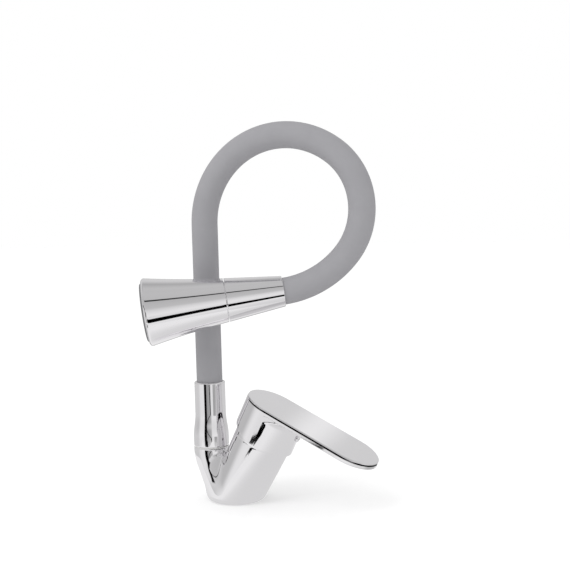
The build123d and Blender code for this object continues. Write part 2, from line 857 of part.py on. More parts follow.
# Waterway core of the head, between the swivel nut and the selector disc
face_end = front_length + face_stand
face_start = face_end - face_height
mat_start = face_start - mat_height
selector_end = mat_start - spray_chamber
selector_start = selector_end - selector_height
core_begin = coupling_end + turn_gap
core_finish = selector_start - turn_gap
core_length = core_finish - core_begin
core_neck = 9.0
core_rim = face_radius - 2.1
rim_height = 6.0
rim_step = 2.0
rim_wall = 1.8
with BuildPart() as flow_core:
    with BuildSketch(head_profile):
        with BuildLine():
            Polyline(
                (core_begin, core_bore),
                (core_begin, core_neck),
                (core_begin + core_length * 0.45, core_neck + 3.0),
                (core_finish - rim_height - rim_step, core_rim - rim_wall),
                (core_finish - rim_height, core_rim),
                (core_finish, core_rim),
                (core_finish, core_rim - rim_wall),
                (core_finish - rim_height - rim_step / 2, core_rim - 2 * rim_wall),
                (core_begin + core_length * 0.47, core_neck + 1.0),
                (core_begin + core_length * 0.28, core_bore),
                close=True,
            )
        make_face()
    revolve(axis=head_axis)
flow_core.part.label = "flow_core"

# Front shell of the spray head: a flared cone with a rounded rim
flare_length = front_length - front_round - front_start
front_seam_radius = seam_radius + seam_gap * tan(radians(flare_start))
flare_mid = (front_seam_radius + front_radius) / 2 - 0.65
lip_start = front_length - lip_length
flare_foot = core_finish - rim_height - rim_step
with BuildPart() as front_shell:
    with BuildSketch(head_profile):
        with BuildLine():
            Line((front_start, front_seam_radius - shell_wall), (front_start, front_seam_radius - 0.4))
            Line((front_start, front_seam_radius - 0.4), (front_start + 0.4, front_seam_radius))
            flare = ThreePointArc(
                (front_start + 0.4, front_seam_radius),
                (front_start + flare_length / 2, flare_mid),
                (front_length - front_round, front_radius),
            )
            RadiusArc(flare @ 1, (front_length, front_radius - front_round), front_round + 0.3)
            Line((front_length, front_radius - front_round), (front_length, face_radius + 0.1))
            Line((front_length, face_radius + 0.1), (lip_start, face_radius + 0.1))
            Line((lip_start, face_radius + 0.1), (lip_start, face_radius - 0.9))
            Line((lip_start, face_radius - 0.9), (flare_foot, core_rim + 0.12))
            Line((flare_foot, core_rim + 0.12), (tongue_end, front_seam_radius - shell_wall))
            Line(
                (tongue_end, front_seam_radius - shell_wall),
                (front_start, front_seam_radius - shell_wall),
            )
        make_face()
    revolve(axis=head_axis)
front_shell.part.label = "head_front_shell"

# Selector disc: three windows that choose between jet and spray
with BuildPart() as selector_disc:
    with BuildSketch(head_level(selector_start)):
        Circle(core_rim - 0.2)
        with PolarLocations(13.0, 3):
            Circle(3.5, mode=Mode.SUBTRACT)
        Circle(4.0, mode=Mode.SUBTRACT)
    extrude(amount=selector_height)
selector_disc.part.label = "selector_disc"

# Face plate with two circles of nozzle holes round the aerator
inner_circle = 13.2
outer_circle = 18.4
with BuildPart() as nozzle_face:
    with BuildSketch(head_level(face_start)):
        Circle(face_radius)
        Circle(aerator_radius + seat_gap, mode=Mode.SUBTRACT)
        with PolarLocations(inner_circle, inner_nozzles):
            RegularPolygon(nozzle_radius + turn_gap, nozzle_sides, mode=Mode.SUBTRACT)
        with PolarLocations(outer_circle, outer_nozzles):
            RegularPolygon(nozzle_radius + turn_gap, nozzle_sides, mode=Mode.SUBTRACT)
    extrude(amount=face_height)
    chamfer(nozzle_face.edges().filter_by(GeomType.CIRCLE).sort_by(SortBy.RADIUS)[-1], 0.6)
nozzle_face.part.label = "nozzle_face"

# Silicone mat whose nubs stand in those holes
nub_stand = 0.7
with BuildPart() as nozzle_mat:
    with BuildSketch(head_level(mat_start)):
        Circle(face_radius - 0.6)
        Circle(aerator_radius + turn_gap, mode=Mode.SUBTRACT)
    extrude(amount=mat_height - seat_gap)
    with BuildSketch(head_level(face_start - seat_gap)):
        with PolarLocations(inner_circle, inner_nozzles):
            RegularPolygon(nozzle_radius, nozzle_sides)
        with PolarLocations(outer_circle, outer_nozzles):
            RegularPolygon(nozzle_radius, nozzle_sides)
    extrude(amount=face_height + nub_stand)
nozzle_mat.part.label = "nozzle_mat"

# Aerator cup in the middle of the face, and its screen
aerator_start = selector_end + 0.3
aerator_wall = 1.5
aerator_end = face_end + 0.4
screen_height = 1.2
with BuildPart() as aerator_cup:
    with BuildSketch(head_level(aerator_start)):
        Circle(aerator_radius)
        Circle(aerator_radius - aerator_wall, mode=Mode.SUBTRACT)
    extrude(amount=aerator_end - aerator_start)
aerator_cup.part.label = "aerator_cup"

screen_start = aerator_end - 2.2
screen_pitch = 2.6
screen_hole = 2.0
with BuildPart() as aerator_screen:
    with BuildSketch(head_level(screen_start)):
        Circle(aerator_radius - aerator_wall - seat_gap)
        with GridLocations(screen_pitch, screen_pitch, 5, 3):
            Rectangle(screen_hole, screen_hole, mode=Mode.SUBTRACT)
        with GridLocations(screen_pitch, 4 * screen_pitch, 3, 2):
            Rectangle(screen_hole, screen_hole, mode=Mode.SUBTRACT)
    extrude(amount=screen_height)
aerator_screen.part.label = "aerator_screen"

pieces = {
    "mixer_body": body,
    "deck_seal": deck_seal,
    "cartridge_base": cartridge_base,
    "port_seals": port_seals,
    "fixed_ceramic_disc": fixed_disc,
    "moving_ceramic_disc": moving_disc,
    "disc_carrier": disc_carrier,
    "cartridge_housing": cartridge_housing,
    "cartridge_turret": turret,
    "stem_pin": stem_pin,
    "lever_stem": lever_stem,
    "retaining_nut": retaining_nut,
    "cover_ring": cover_ring,
    "lever_handle": lever_handle,
    "grub_screw": grub_screw,
    "cover_plug": cover_plug,
    "swivel_washer": swivel_washer,
    "spout_spigot": spout_spigot,
    "glide_rings": glide_rings,
    "spout_o_rings": spout_o_rings,
    "spout_socket": spout_socket,
    "snap_ring": snap_ring,
    "lower_ferrule": lower_ferrule,
    "core_tube_lower": core_lower,
    "core_tube_bend": core_bend,
    "core_tube_upper": core_upper,
    "sleeve_lower": sleeve_lower,
    "sleeve_bend": sleeve_bend,
    "sleeve_upper": sleeve_upper,
    "upper_ferrule": upper_ferrule,
    "head_rear_shell": rear_shell,
    "head_coupling": head_coupling,
    "filter_washer": filter_washer,
    "check_valve": check_valve,
    "flow_core": flow_core,
    "head_front_shell": front_shell,
    "selector_disc": selector_disc,
    "nozzle_face": nozzle_face,
    "nozzle_mat": nozzle_mat,
    "aerator_cup": aerator_cup,
    "aerator_screen": aerator_screen,
}

os.makedirs("parts", exist_ok=True)
for name, piece in pieces.items():
    export_step(piece.part, "parts/" + name + ".step")
    print(name, len(piece.part.solids()), round(piece.part.volume, 1))
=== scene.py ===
import json
import math

import bmesh
import bpy
import numpy as np
from mathutils import Matrix, Vector


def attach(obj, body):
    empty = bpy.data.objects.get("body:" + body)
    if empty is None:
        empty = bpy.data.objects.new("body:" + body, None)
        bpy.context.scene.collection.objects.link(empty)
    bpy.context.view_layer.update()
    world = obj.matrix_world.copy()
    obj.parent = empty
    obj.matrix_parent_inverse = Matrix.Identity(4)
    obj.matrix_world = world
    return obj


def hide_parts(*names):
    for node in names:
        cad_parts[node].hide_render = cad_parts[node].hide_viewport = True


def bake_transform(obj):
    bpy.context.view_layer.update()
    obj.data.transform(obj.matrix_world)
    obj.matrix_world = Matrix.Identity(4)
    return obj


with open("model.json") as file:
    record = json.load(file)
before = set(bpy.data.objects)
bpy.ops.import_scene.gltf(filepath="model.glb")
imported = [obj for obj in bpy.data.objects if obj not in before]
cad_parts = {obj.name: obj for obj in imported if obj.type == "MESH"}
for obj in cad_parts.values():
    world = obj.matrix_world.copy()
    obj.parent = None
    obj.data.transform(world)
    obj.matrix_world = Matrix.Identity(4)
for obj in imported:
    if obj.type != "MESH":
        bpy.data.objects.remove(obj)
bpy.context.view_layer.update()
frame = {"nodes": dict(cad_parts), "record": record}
nodes = frame["nodes"]
nodeSlots = {entry["node"]: entry["material_slot"] for entry in frame["record"]["subparts"]}
print("frame loaded,", len(nodes), "nodes")

millimetre = 0.001  # sizes are in millimetres and become metres as a mesh is made
fullTurn = 2 * math.pi
around = 240  # points round a turned form
sharpEdge = math.radians(40)  # steeper edges stay sharp
bodySharpEdge = math.radians(35)
mergeDistance = 1e-7  # metres

# Tilted hub: the body, the cover ring, the lever and its plug are built on its axis
hub = {
    "tilt": 26.2,  # degrees from upright
    "baseRadius": 23.0,
    "baseRound": 4.5,
    "neckRadius": 21.3,
    "neckLevel": 54.5,  # along the tilted axis
    "stretch": 3.0,  # how much longer than wide the neck's oval is
}
spout = {"offset": -19.9, "seatLevel": 41.3}  # upright axis behind the hub, and the top of the leg

hubTilt = math.radians(hub["tilt"])
hubDir = np.array([math.sin(hubTilt), 0.0, math.cos(hubTilt)])
hubForward = np.array([hubDir[2], 0.0, -hubDir[0]])
sideways = np.array([0.0, 1.0, 0.0])
upward = np.array([0.0, 0.0, 1.0])
neckForward = hub["stretch"] / 2  # centre of the neck's oval in front of the axis
neckReach = hub["neckRadius"] + neckForward


# Point = forward x the hub's forward direction + side x sideways + level x the hub's axis
def hubPoints(forward, side, level):
    return (
        np.multiply.outer(forward, hubForward)
        + np.multiply.outer(side, sideways)
        + np.multiply.outer(level, hubDir)
    )


# Each vector divided by its own length
def unit(vectors):
    return vectors / np.linalg.norm(vectors, axis=-1, keepdims=True)


# 0 below the low bound, 1 above the high one, and share squared x (3 - 2 x share) between them
def smoothStep(low, high, value):
    share = np.clip((value - low) / (high - low), 0, 1)
    return share * share * (3 - 2 * share)


# Object of a mesh, a camera or a lamp, put in the scene
def addObject(name, data):
    thing = bpy.data.objects.new(name, data)
    bpy.context.scene.collection.objects.link(thing)
    return thing


# Object of a mesh, shaded smooth with its steep edges kept sharp
def addPiece(name, mesh):
    mesh.shade_smooth()
    mesh.set_sharp_from_angle(angle=sharpEdge)
    return addObject(name, mesh)


# Mesh of points and faces: points that meet are merged, then the faces are turned outwards
def makePiece(name, points, faces):
    mesh = bpy.data.meshes.new(name)
    mesh.from_pydata((points * millimetre).tolist(), [], faces)
    mesh.validate()
    bm = bmesh.new()
    bm.from_mesh(mesh)
    bmesh.ops.remove_doubles(bm, verts=bm.verts, dist=mergeDistance)
    bmesh.ops.recalc_face_normals(bm, faces=bm.faces)
    bm.to_mesh(mesh)
    bm.free()
    return addPiece(name, mesh)


# Each face joins a point and the next one round the ring to the same two on the next ring
def gridFaces(rings, columns, closed):
    ring = np.arange(rings if closed else rings - 1)[:, None]
    column = np.arange(columns)[None, :]
    start = ring * columns
    startNext = (ring + 1) % rings * columns
    columnNext = (column + 1) % columns
    corners = [start + column, start + columnNext, startNext + columnNext, startNext + column]
    return np.stack(corners, axis=-1).reshape(-1, 4).tolist()


# Piece from rings of points; the last ring meets the first, or each open end gets a flat cap
def shellPiece(name, rings, closed=False):
    count, columns = rings.shape[:2]
    faces = gridFaces(count, columns, closed)
    if not closed:
        faces.append(list(range(columns))[::-1])
        faces.append(list(range((count - 1) * columns, count * columns)))
    return makePiece(name, rings.reshape(-1, 3), faces)


# Arc between two spokes: each is weighted by the sine of its part of the turn over the sine of all
def arcPoints(first, last, turn, share):
    return (np.sin((1 - share) * turn) * first + np.sin(share * turn) * last) / np.sin(turn)


# Profile of (along, radius) from corners (along, radius, rounding). A rounding is an arc between
# two tangent points, rounding / tan(half the corner) from it, with a support point beyond each.
def roundedProfile(corners, steps=6, support=0.12):
    out = []
    for index, (along, radius, rounding) in enumerate(corners):
        here = np.array([along, radius], float)
        if rounding <= 0:
            out.append(here)
            continue
        before = unit(np.array(corners[index - 1][:2], float) - here)
        after = unit(np.array(corners[(index + 1) % len(corners)][:2], float) - here)
        half = 0.5 * math.acos(np.clip(before @ after, -1, 1))
        tangent = rounding / math.tan(half)
        centre = here + unit(before + after) * rounding / math.sin(half)
        first = here + before * tangent - centre
        last = here + after * tangent - centre
        share = np.linspace(0, 1, steps)[:, None]
        out.append(here + before * (tangent + support))
        out.extend(centre + arcPoints(first, last, math.pi - 2 * half, share))
        out.append(here + after * (tangent + support))
    return np.array(out)


# Profile carried round an axis: origin + along x the axis + radius x (cos first + sin second)
def turnedPiece(name, profile, origin, direction, closed=True, sides=around):
    direction = unit(direction)
    first = unit(np.cross(sideways, direction))
    second = np.cross(direction, first)
    turn = np.linspace(0, fullTurn, sides, endpoint=False)
    ring = np.multiply.outer(np.cos(turn), first) + np.multiply.outer(np.sin(turn), second)
    along, radius = profile[:, 0][:, None, None], profile[:, 1][:, None, None]
    return shellPiece(name, np.asarray(origin) + along * direction + radius * ring, closed)


# Corners of a plain ring, as (along, radius)
def ringCorners(start, end, inner, outer):
    return np.array([(start, inner), (start, outer), (end, outer), (end, inner)])


# Straight cylinder between two places on an axis, with flat ends
def rodPiece(name, start, end, radius, origin, direction, sides):
    profile = np.array([(start, radius), (end, radius)])
    return turnedPiece(name, profile, origin, direction, closed=False, sides=sides)


# One object of several closed shells, which are used up
def joinPieces(name, pieces):
    bm = bmesh.new()
    for piece in pieces:
        bm.from_mesh(piece.data)
        bpy.data.objects.remove(piece)
    mesh = bpy.data.meshes.new(name)
    bm.to_mesh(mesh)
    bm.free()
    return addPiece(name, mesh)


# Boolean of two closed pieces, made final; the other piece is used up
def combine(piece, other, operation):
    modifier = piece.modifiers.new("combine", "BOOLEAN")
    modifier.object = other
    modifier.operation = operation
    modifier.solver = "EXACT"
    graph = bpy.context.evaluated_depsgraph_get()
    mesh = bpy.data.meshes.new_from_object(piece.evaluated_get(graph))
    piece.modifiers.clear()
    piece.data = mesh
    bpy.data.objects.remove(other)
    return piece


# Mixer body: tilted hub and spout leg, melted together in the valley between them
body = {
    "legLevels": [0.0, 12.0, 24.6, 33.0, 41.3],
    "legRears": [-23.39, -24.97, -30.4, -33.2, -33.8],  # rearmost points, as the photograph shows them
    "legRadii": [22.2, 19.2, 15.6, 14.3, 13.9],
    "blendGrowth": 0.3,  # reach of the melting for each millimetre of level
    "fadeStart": 6.3,  # below the seat, where the melting starts to fade out
    "fadeEnd": 0.6,
    "rimRound": 0.4,
    "studRadius": 3.4,
    "studDepth": 13.0,
    "inletRadius": 4.5,
    "inletDepth": 12.0,
    "inletSpacing": 11.0,
    "grooveOuter": 18.0,
    "grooveInner": 15.4,
    "grooveDepth": 1.6,
    "cutterStart": -1.0,  # cutters start under the foot
    "cutterSides": 48,
    "grooveSides": 120,
}
baseSteps, rimSteps = 12, 5  # points on the rounding of the foot and of a rim
hubRings, legRings = 62, 58
innerShare = 0.9  # size of the last ring before a flat cap
shareRounds, meltRounds = 4, 8
tiny = 1e-9
angle = np.linspace(0, fullTurn, around, endpoint=False)
radial = np.stack([np.cos(angle), np.sin(angle), np.zeros(around)], axis=1)
# Rear edge and radius of the leg are smooth curves of the level through the measured circles
legRear = np.polynomial.Polynomial.fit(body["legLevels"], body["legRears"], 4)
legRadius = np.polynomial.Polynomial.fit(body["legLevels"], body["legRadii"], 4)


# An arc for each corner between two directions, and how far from the corner each arc starts
def filletRows(corner, floorDir, wallDir, radius, steps):
    cosine = np.sum(floorDir * wallDir, axis=1, keepdims=True)
    half = 0.5 * np.arccos(np.clip(cosine, -1, 1))
    tangent = radius / np.tan(half)
    centre = corner + unit(floorDir + wallDir) * radius / np.sin(half)
    first = corner + floorDir * tangent - centre
    last = corner + wallDir * tangent - centre
    share = np.linspace(0, 1, steps)[:, None, None]
    return centre + arcPoints(first, last, math.pi - 2 * half, share), tangent


# Hub = (1 - share) x the round base + share x the oval neck, with an arc at either end
def hubRows():
    foot = radial * hub["baseRadius"]
    forward = neckForward + neckReach * np.cos(angle)
    neck = hubPoints(forward, hub["neckRadius"] * np.sin(angle), hub["neckLevel"])
    wall = unit(neck - foot)
    low, lowTangent = filletRows(foot, -radial, wall, hub["baseRound"], baseSteps)
    centre = hubDir * hub["neckLevel"] + hubForward * neckForward
    high, highTangent = filletRows(neck, -wall, unit(centre - neck), body["rimRound"], rimSteps)
    share = np.linspace(0, 1, hubRings)[1:-1, None, None]
    walls = (foot + wall * lowTangent) * (1 - share) + (neck - wall * highTangent) * share
    inner = centre + (neck - centre) * innerShare
    return np.concatenate([low, walls, high, inner[None]])


# Centre of the leg at a level: its rear edge and one radius forwards
def legOffset(level):
    return legRear(level) + legRadius(level)


# Circle of the leg at a level: its centre + its radius x each direction round it
def legRing(level):
    return np.array([legOffset(level), 0, level]) + radial * legRadius(level)


# Leg = circles stacked along its curved centre line, with an arc at the foot and at the seat
def legRows():
    seat = spout["seatLevel"]
    slopeStep = 0.5  # height over which the wall's slope is taken
    foot = legRing(0.0) + upward * 0.02  # keeps the two feet out of one plane
    footWall = unit(legRing(slopeStep) - legRing(0.0))
    low, lowTangent = filletRows(foot, -radial, footWall, hub["baseRound"], baseSteps)
    levels = np.linspace(0, seat - body["rimRound"], legRings)
    clear = levels > lowTangent.max() + 0.3  # past the rounding of the foot
    walls = np.stack([legRing(level) for level in levels[clear]])
    top = legRing(seat)
    centre = np.array([spout["offset"], 0, seat])
    seatWall = unit(legRing(seat - slopeStep) - top)
    high, _ = filletRows(top, seatWall, -radial, body["rimRound"], rimSteps)
    inner = centre + (top - centre) * innerShare
    return np.concatenate([low, walls, high, inner[None]])


# Distance outside the hub. The lines from base to neck give an oval at each point's level, with a
# long and a wide half size; the distance is reach x (1 - 1 / size), size being 1 on that oval.
def hubDistance(points):
    forward, side, level = points @ hubForward, points @ sideways, points @ hubDir
    lean = math.sin(hubTilt) * hub["baseRadius"]
    squash = math.cos(hubTilt) * hub["baseRadius"]
    share = np.clip(level / hub["neckLevel"], 0, 1)
    pastNeck = 1.1  # the lines may be followed a little past the neck
    for _ in range(shareRounds):  # a point's share depends on where it lies round the oval
        long = squash * (1 - share) + neckReach * share
        wide = hub["baseRadius"] * (1 - share) + hub["neckRadius"] * share
        across = forward - share * neckForward
        size = np.hypot(across / long, side / wide) + tiny
        cosine = across / long / size
        share = np.clip((level - lean * cosine) / (hub["neckLevel"] - lean * cosine), 0, pastNeck)
    return np.hypot(across, side) * (1 - 1 / size)


# Distance outside the leg: how far a point lies from the centre line, less the radius there
def legDistance(points):
    level = np.clip(points[:, 2], 0, spout["seatLevel"])
    return np.hypot(points[:, 0] - legOffset(level), points[:, 1]) - legRadius(level)


# Smooth union of hub and leg: the nearer distance less a quarter of blend x overlap squared,
# where the blend grows with the level and fades out below the seat
def bodyDistance(points):
    level = np.maximum(points[:, 2], 0)
    seat = spout["seatLevel"]
    fading = 1 - smoothStep(seat - body["fadeStart"], seat - body["fadeEnd"], level)
    leastBlend = 1e-4
    blend = np.maximum(body["blendGrowth"] * level * fading, leastBlend)
    toHub, toLeg = hubDistance(points), legDistance(points)
    overlap = np.maximum(blend - np.abs(toHub - toLeg), 0) / blend
    return np.minimum(toHub, toLeg) - overlap * overlap * blend / 4


# Slope of that distance: its change over a short step either way along x, y and z
def bodySlope(points):
    step = 0.01
    changes = [bodyDistance(points + step * axis) - bodyDistance(points - step * axis) for axis in np.eye(3)]
    return np.stack(changes, axis=1) / (2 * step)


# Points of a mesh, in millimetres
def meshPoints(mesh):
    flat = np.empty(len(mesh.vertices) * 3, np.float32)
    mesh.vertices.foreach_get("co", flat)
    return flat.reshape(-1, 3).astype(float) / millimetre


# Points near the valley move onto the smooth union: each round they step back by
# slope x distance / slope squared. Points on the rounding of the foot move level, outwards.
def meltValley(piece):
    mesh = piece.data
    points = meshPoints(mesh)
    level = points[:, 2]
    toHub, toLeg = hubDistance(points), legDistance(points)
    nearest = np.minimum(toHub, toLeg)
    valley = np.abs(toHub - toLeg) < body["blendGrowth"] * spout["seatLevel"]
    outermost, innermost = 0.05, -0.3  # distances from either form between which points may move
    near = valley & (nearest < outermost) & (nearest > innermost)
    near &= (level > hub["baseRound"]) & (level < spout["seatLevel"] - body["fadeEnd"])
    underside = 0.01
    foot = valley & (level > underside) & (level <= hub["baseRound"])
    foot &= np.hypot(points[:, 0], points[:, 1]) > body["grooveOuter"] - 1.0
    moved = points[foot]
    lift = nearest[foot] - bodyDistance(moved)
    points[foot] = moved + unit(bodySlope(moved) * (1 - upward)) * lift[:, None]
    moved = points[near]
    leastSteepness = 0.2
    for _ in range(meltRounds):
        slope = bodySlope(moved)
        steepness = np.maximum(np.sum(slope * slope, axis=1), leastSteepness)
        moved = moved - slope * (bodyDistance(moved) / steepness)[:, None]
    points[near] = moved
    mesh.vertices.foreach_set("co", (points * millimetre).astype(np.float32).ravel())
    mesh.update()


# Shading normals of the wall are the slope of its distance; the edges keep their own
def smoothNormals(piece):
    points = meshPoints(piece.data)
    edge = 0.1  # how far past a rounding the wall starts
    wallSlack = 0.03
    wall = (np.abs(bodyDistance(points)) < wallSlack) & (points[:, 2] > hub["baseRound"] + edge)
    wall &= points[:, 2] < spout["seatLevel"] - body["fadeEnd"] - edge
    wall &= points @ hubDir < hub["neckLevel"] - body["fadeEnd"]
    wall &= np.hypot(points[:, 0], points[:, 1]) > body["grooveOuter"] - 6.0
    normals = np.zeros_like(points)
    normals[wall] = unit(bodySlope(points[wall]))
    piece.data.normals_split_custom_set_from_vertices(normals.tolist())


bodyPiece = shellPiece("mixerBody", hubRows())
bodyPiece = combine(bodyPiece, shellPiece("leg", legRows()), "UNION")
meltValley(bodyPiece)
bores = [
    ("inlet", -body["inletSpacing"], body["inletRadius"], body["inletDepth"]),
    ("inlet", body["inletSpacing"], body["inletRadius"], body["inletDepth"]),
    ("stud", 0, body["studRadius"], body["studDepth"]),
]
for name, side, radius, depth in bores:
    place, sides = (0, side, 0), body["cutterSides"]
    cutter = rodPiece(name, body["cutterStart"], depth, radius, place, upward, sides)
    combine(bodyPiece, cutter, "DIFFERENCE")
groove = ringCorners(body["cutterStart"], body["grooveDepth"], body["grooveInner"], body["grooveOuter"])
cutter = turnedPiece("groove", groove, (0, 0, 0), upward, sides=body["grooveSides"])
combine(bodyPiece, cutter, "DIFFERENCE")
bodyPiece.data.shade_smooth()
bodyPiece.data.set_sharp_from_angle(angle=bodySharpEdge)
smoothNormals(bodyPiece)
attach(bodyPiece, "base")
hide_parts("mixer_body")
print("mixer body made,", len(bodyPiece.data.polygons), "faces")

# Cover ring under the lever's skirt
ring = {
    "bottom": 54.52,
    "bore": 19.75,
    "foot": 21.1,
    "crown": 60.7,
    "radius": 21.4,
    "top": 63.1,
    "topInset": 2.0,
    "mouth": 13.2,
    "lip": 1.2,
    "crownRound": 1.0,
    "topRound": 0.8,
    "edgeRound": 0.2,
}
ringProfile = roundedProfile(
    [
        (ring["bottom"], ring["bore"], 0),
        (ring["bottom"], ring["foot"], ring["edgeRound"]),
        (ring["crown"], ring["radius"], ring["crownRound"]),
        (ring["top"], ring["radius"] - ring["topInset"], ring["topRound"]),
        (ring["top"], ring["mouth"], ring["edgeRound"]),
        (ring["top"] - ring["lip"], ring["mouth"], 0),
        (ring["crown"], ring["bore"], 0),
    ]
)
ringPiece = turnedPiece("coverRing", ringProfile, (0, 0, 0), hubDir)
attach(ringPiece, "base")
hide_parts("cover_ring")
print("cover ring made")

# Lever: flat plate with round ends on a skirt that flares into its underside
lever = {
    "top": 86.4,
    "thick": 4.7,
    "radius": 23.5,
    "reach": 67.85,
    "topRound": 0.9,
    "edgeLevel": 84.4,
    "edgeRound": 0.25,
    "edgeLean": 0.425,
    "lowRound": 0.7,
    "flushStart": 2.0,  # forward of the rear end, where the lower rounding begins to show
    "flushEnd": 9.0,
    "skirtLevel": 55.0,
    "skirtWall": 1.4,
    "skirtInset": 0.03,
    "skirtOverlap": 0.4,
    "rimRound": 0.35,
    "flare": 5.0,
    "ceiling": 80.2,
    "rearRise": math.tan(math.radians(18.0)),  # clears the body as the lever tilts
    "bossRadius": 8.5,
    "bossLevel": 66.0,
    "bossSides": 64,
    "endPoints": 64,  # round each end of the outline
    "sidePoints": 90,  # along each side of it
    "flareRings": 12,
    "wallRings": 14,
    "rimRings": 5,
}


# Outline of a slot: points of its centre line, and the cosine and sine of the direction outwards
def stadium(reach):
    ends, sides, quarter = lever["endPoints"], lever["sidePoints"], math.pi / 2
    rear = np.linspace(quarter, 3 * quarter, ends, endpoint=False)
    front = np.linspace(-quarter, quarter, ends, endpoint=False)
    run = np.linspace(0, 1, sides, endpoint=False)
    turn = np.concatenate([rear, np.full(sides, -quarter), front, np.full(sides, quarter)])
    centre = np.concatenate([np.zeros(ends), run * reach, np.full(ends, reach), (1 - run) * reach])
    return centre, np.cos(turn), np.sin(turn)


# Ring of a slot at a level: centre line + radius x the direction outwards
def slotRow(outline, radii, level):
    centre, forward, side = outline
    return hubPoints(centre + radii * forward, radii * side, level)


plateLow = lever["top"] - lever["thick"]
plateProfile = roundedProfile(
    [
        (0, plateLow, 0),
        (lever["radius"], plateLow, lever["lowRound"]),
        (lever["radius"], lever["edgeLevel"], lever["edgeRound"]),
        (lever["radius"] - lever["edgeLean"], lever["top"], lever["topRound"]),
        (0, lever["top"], 0),
    ],
    steps=7,
)[1:-1]
plateOutline = stadium(lever["reach"])
# The lower rounding fades away where the plate runs flush into the skirt
fromRear = plateOutline[0] + lever["radius"] * plateOutline[1]
flush = 1 - smoothStep(lever["flushStart"], lever["flushEnd"], fromRear)
roundingReach = lever["lowRound"] + 0.2
plateRows = []
for radius, level in plateProfile:
    onRounding = level < plateLow + roundingReach and radius > lever["radius"] - roundingReach
    radii = radius + (lever["radius"] - radius) * flush if onRounding else radius
    plateRows.append(slotRow(plateOutline, radii, level))
plate = shellPiece("plate", np.stack(plateRows))

# Skirt: its outer wall flares forwards below the plate, never beyond the plate's own outline
skirtOutline = stadium(hub["stretch"])
centre, forward, side = skirtOutline
aside = np.maximum(np.abs(side), tiny)
room = np.where(forward > tiny, lever["radius"] * (1 - aside) / aside, 0.0)
rim = lever["skirtLevel"] + np.maximum(-(centre + lever["radius"] * forward), 0) * lever["rearRise"]
outer = lever["radius"] - lever["skirtInset"]
inner = lever["radius"] - lever["skirtWall"]
skirtRows = []
for share in np.linspace(1, 0, lever["flareRings"]):
    height = plateLow + lever["skirtOverlap"] if share == 1 else plateLow - lever["flare"] * (1 - share)
    out = lever["flare"] - math.sqrt(max(lever["flare"] ** 2 - (lever["flare"] * share) ** 2, 0))
    skirtRows.append(slotRow(skirtOutline, outer + np.minimum(out, room), height))
for share in np.linspace(0, 1, lever["wallRings"]):
    height = (plateLow - lever["flare"]) * (1 - share) + (rim + lever["rimRound"]) * share
    skirtRows.append(slotRow(skirtOutline, outer, height))
for turn in np.linspace(0, math.pi / 2, lever["rimRings"])[1:]:
    radii = outer - lever["rimRound"] * (1 - math.cos(turn))
    skirtRows.append(slotRow(skirtOutline, radii, rim + lever["rimRound"] * (1 - math.sin(turn))))
innerRound = 0.2
skirtRows.append(slotRow(skirtOutline, inner + innerRound, rim))
for share in (0.0, 0.5, 1.0):
    height = (rim + innerRound) * (1 - share) + lever["ceiling"] * share
    skirtRows.append(slotRow(skirtOutline, inner, height))
skirt = shellPiece("skirt", np.stack(skirtRows))
bossTop = lever["ceiling"] + 0.5  # let into the plate
bossShape = (lever["bossLevel"], bossTop, lever["bossRadius"])
boss = rodPiece("boss", *bossShape, (0, 0, 0), hubDir, lever["bossSides"])
leverPiece = joinPieces("leverHandle", [plate, skirt, boss])
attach(leverPiece, "lever")
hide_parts("lever_handle")
print("lever made,", len(leverPiece.data.polygons), "faces")

# Plug in front of the grub screw
plug = {
    "level": 71.0,
    "front": 26.5,  # of the skirt, from the hub's axis
    "radius": 3.0,
    "stand": 1.8,
    "shank": 2.45,
    "depth": 2.0,
    "hole": 0.9,
    "holeDepth": 0.6,
    "edgeRound": 0.8,
    "holeRound": 0.25,
    "gap": 0.02,
    "slack": 0.05,
    "sides": 96,
    "holeSides": 48,
}
plugBack = plug["front"] - plug["depth"]
plugSeat = plug["front"] + plug["gap"]
plugFace = plug["front"] + plug["stand"]
plugProfile = roundedProfile(
    [
        (plugBack, plug["hole"], 0),
        (plugBack, plug["shank"], 0),
        (plugSeat, plug["shank"], 0),
        (plugSeat, plug["radius"], 0),
        (plugFace, plug["radius"], plug["edgeRound"]),
        (plugFace, plug["hole"], plug["holeRound"]),
    ]
)
plugPlace = hubDir * plug["level"]
plugDisc = turnedPiece("coverPlug", plugProfile, plugPlace, hubForward, sides=plug["sides"])
holeEnd = plug["front"] + plug["holeDepth"]
holeShape = (plugBack, holeEnd, plug["hole"] + plug["slack"])
holeFloor = rodPiece("plugHole", *holeShape, plugPlace, hubForward, plug["holeSides"])
plugPiece = joinPieces("coverPlug", [plugDisc, holeFloor])
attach(plugPiece, "lever")
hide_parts("cover_plug")
print("plug made")

# Spout socket: collar, soft shoulder and tube
socket = {
    "bottom": 41.92,
    "bottomRound": 1.0,
    "bore": 9.7,
    "collar": 13.95,
    "collarTop": 46.0,
    "shoulderLow": 50.0,
    "shoulderHigh": 68.0,
    "tubeLow": 70.0,
    "tube": 12.2,
    "top": 93.3,
    "topRound": 0.9,
    "mouthRound": 0.3,
    "hoseBore": 10.4,
    "hoseSeat": 66.4,
    "shoulderRings": 22,
}
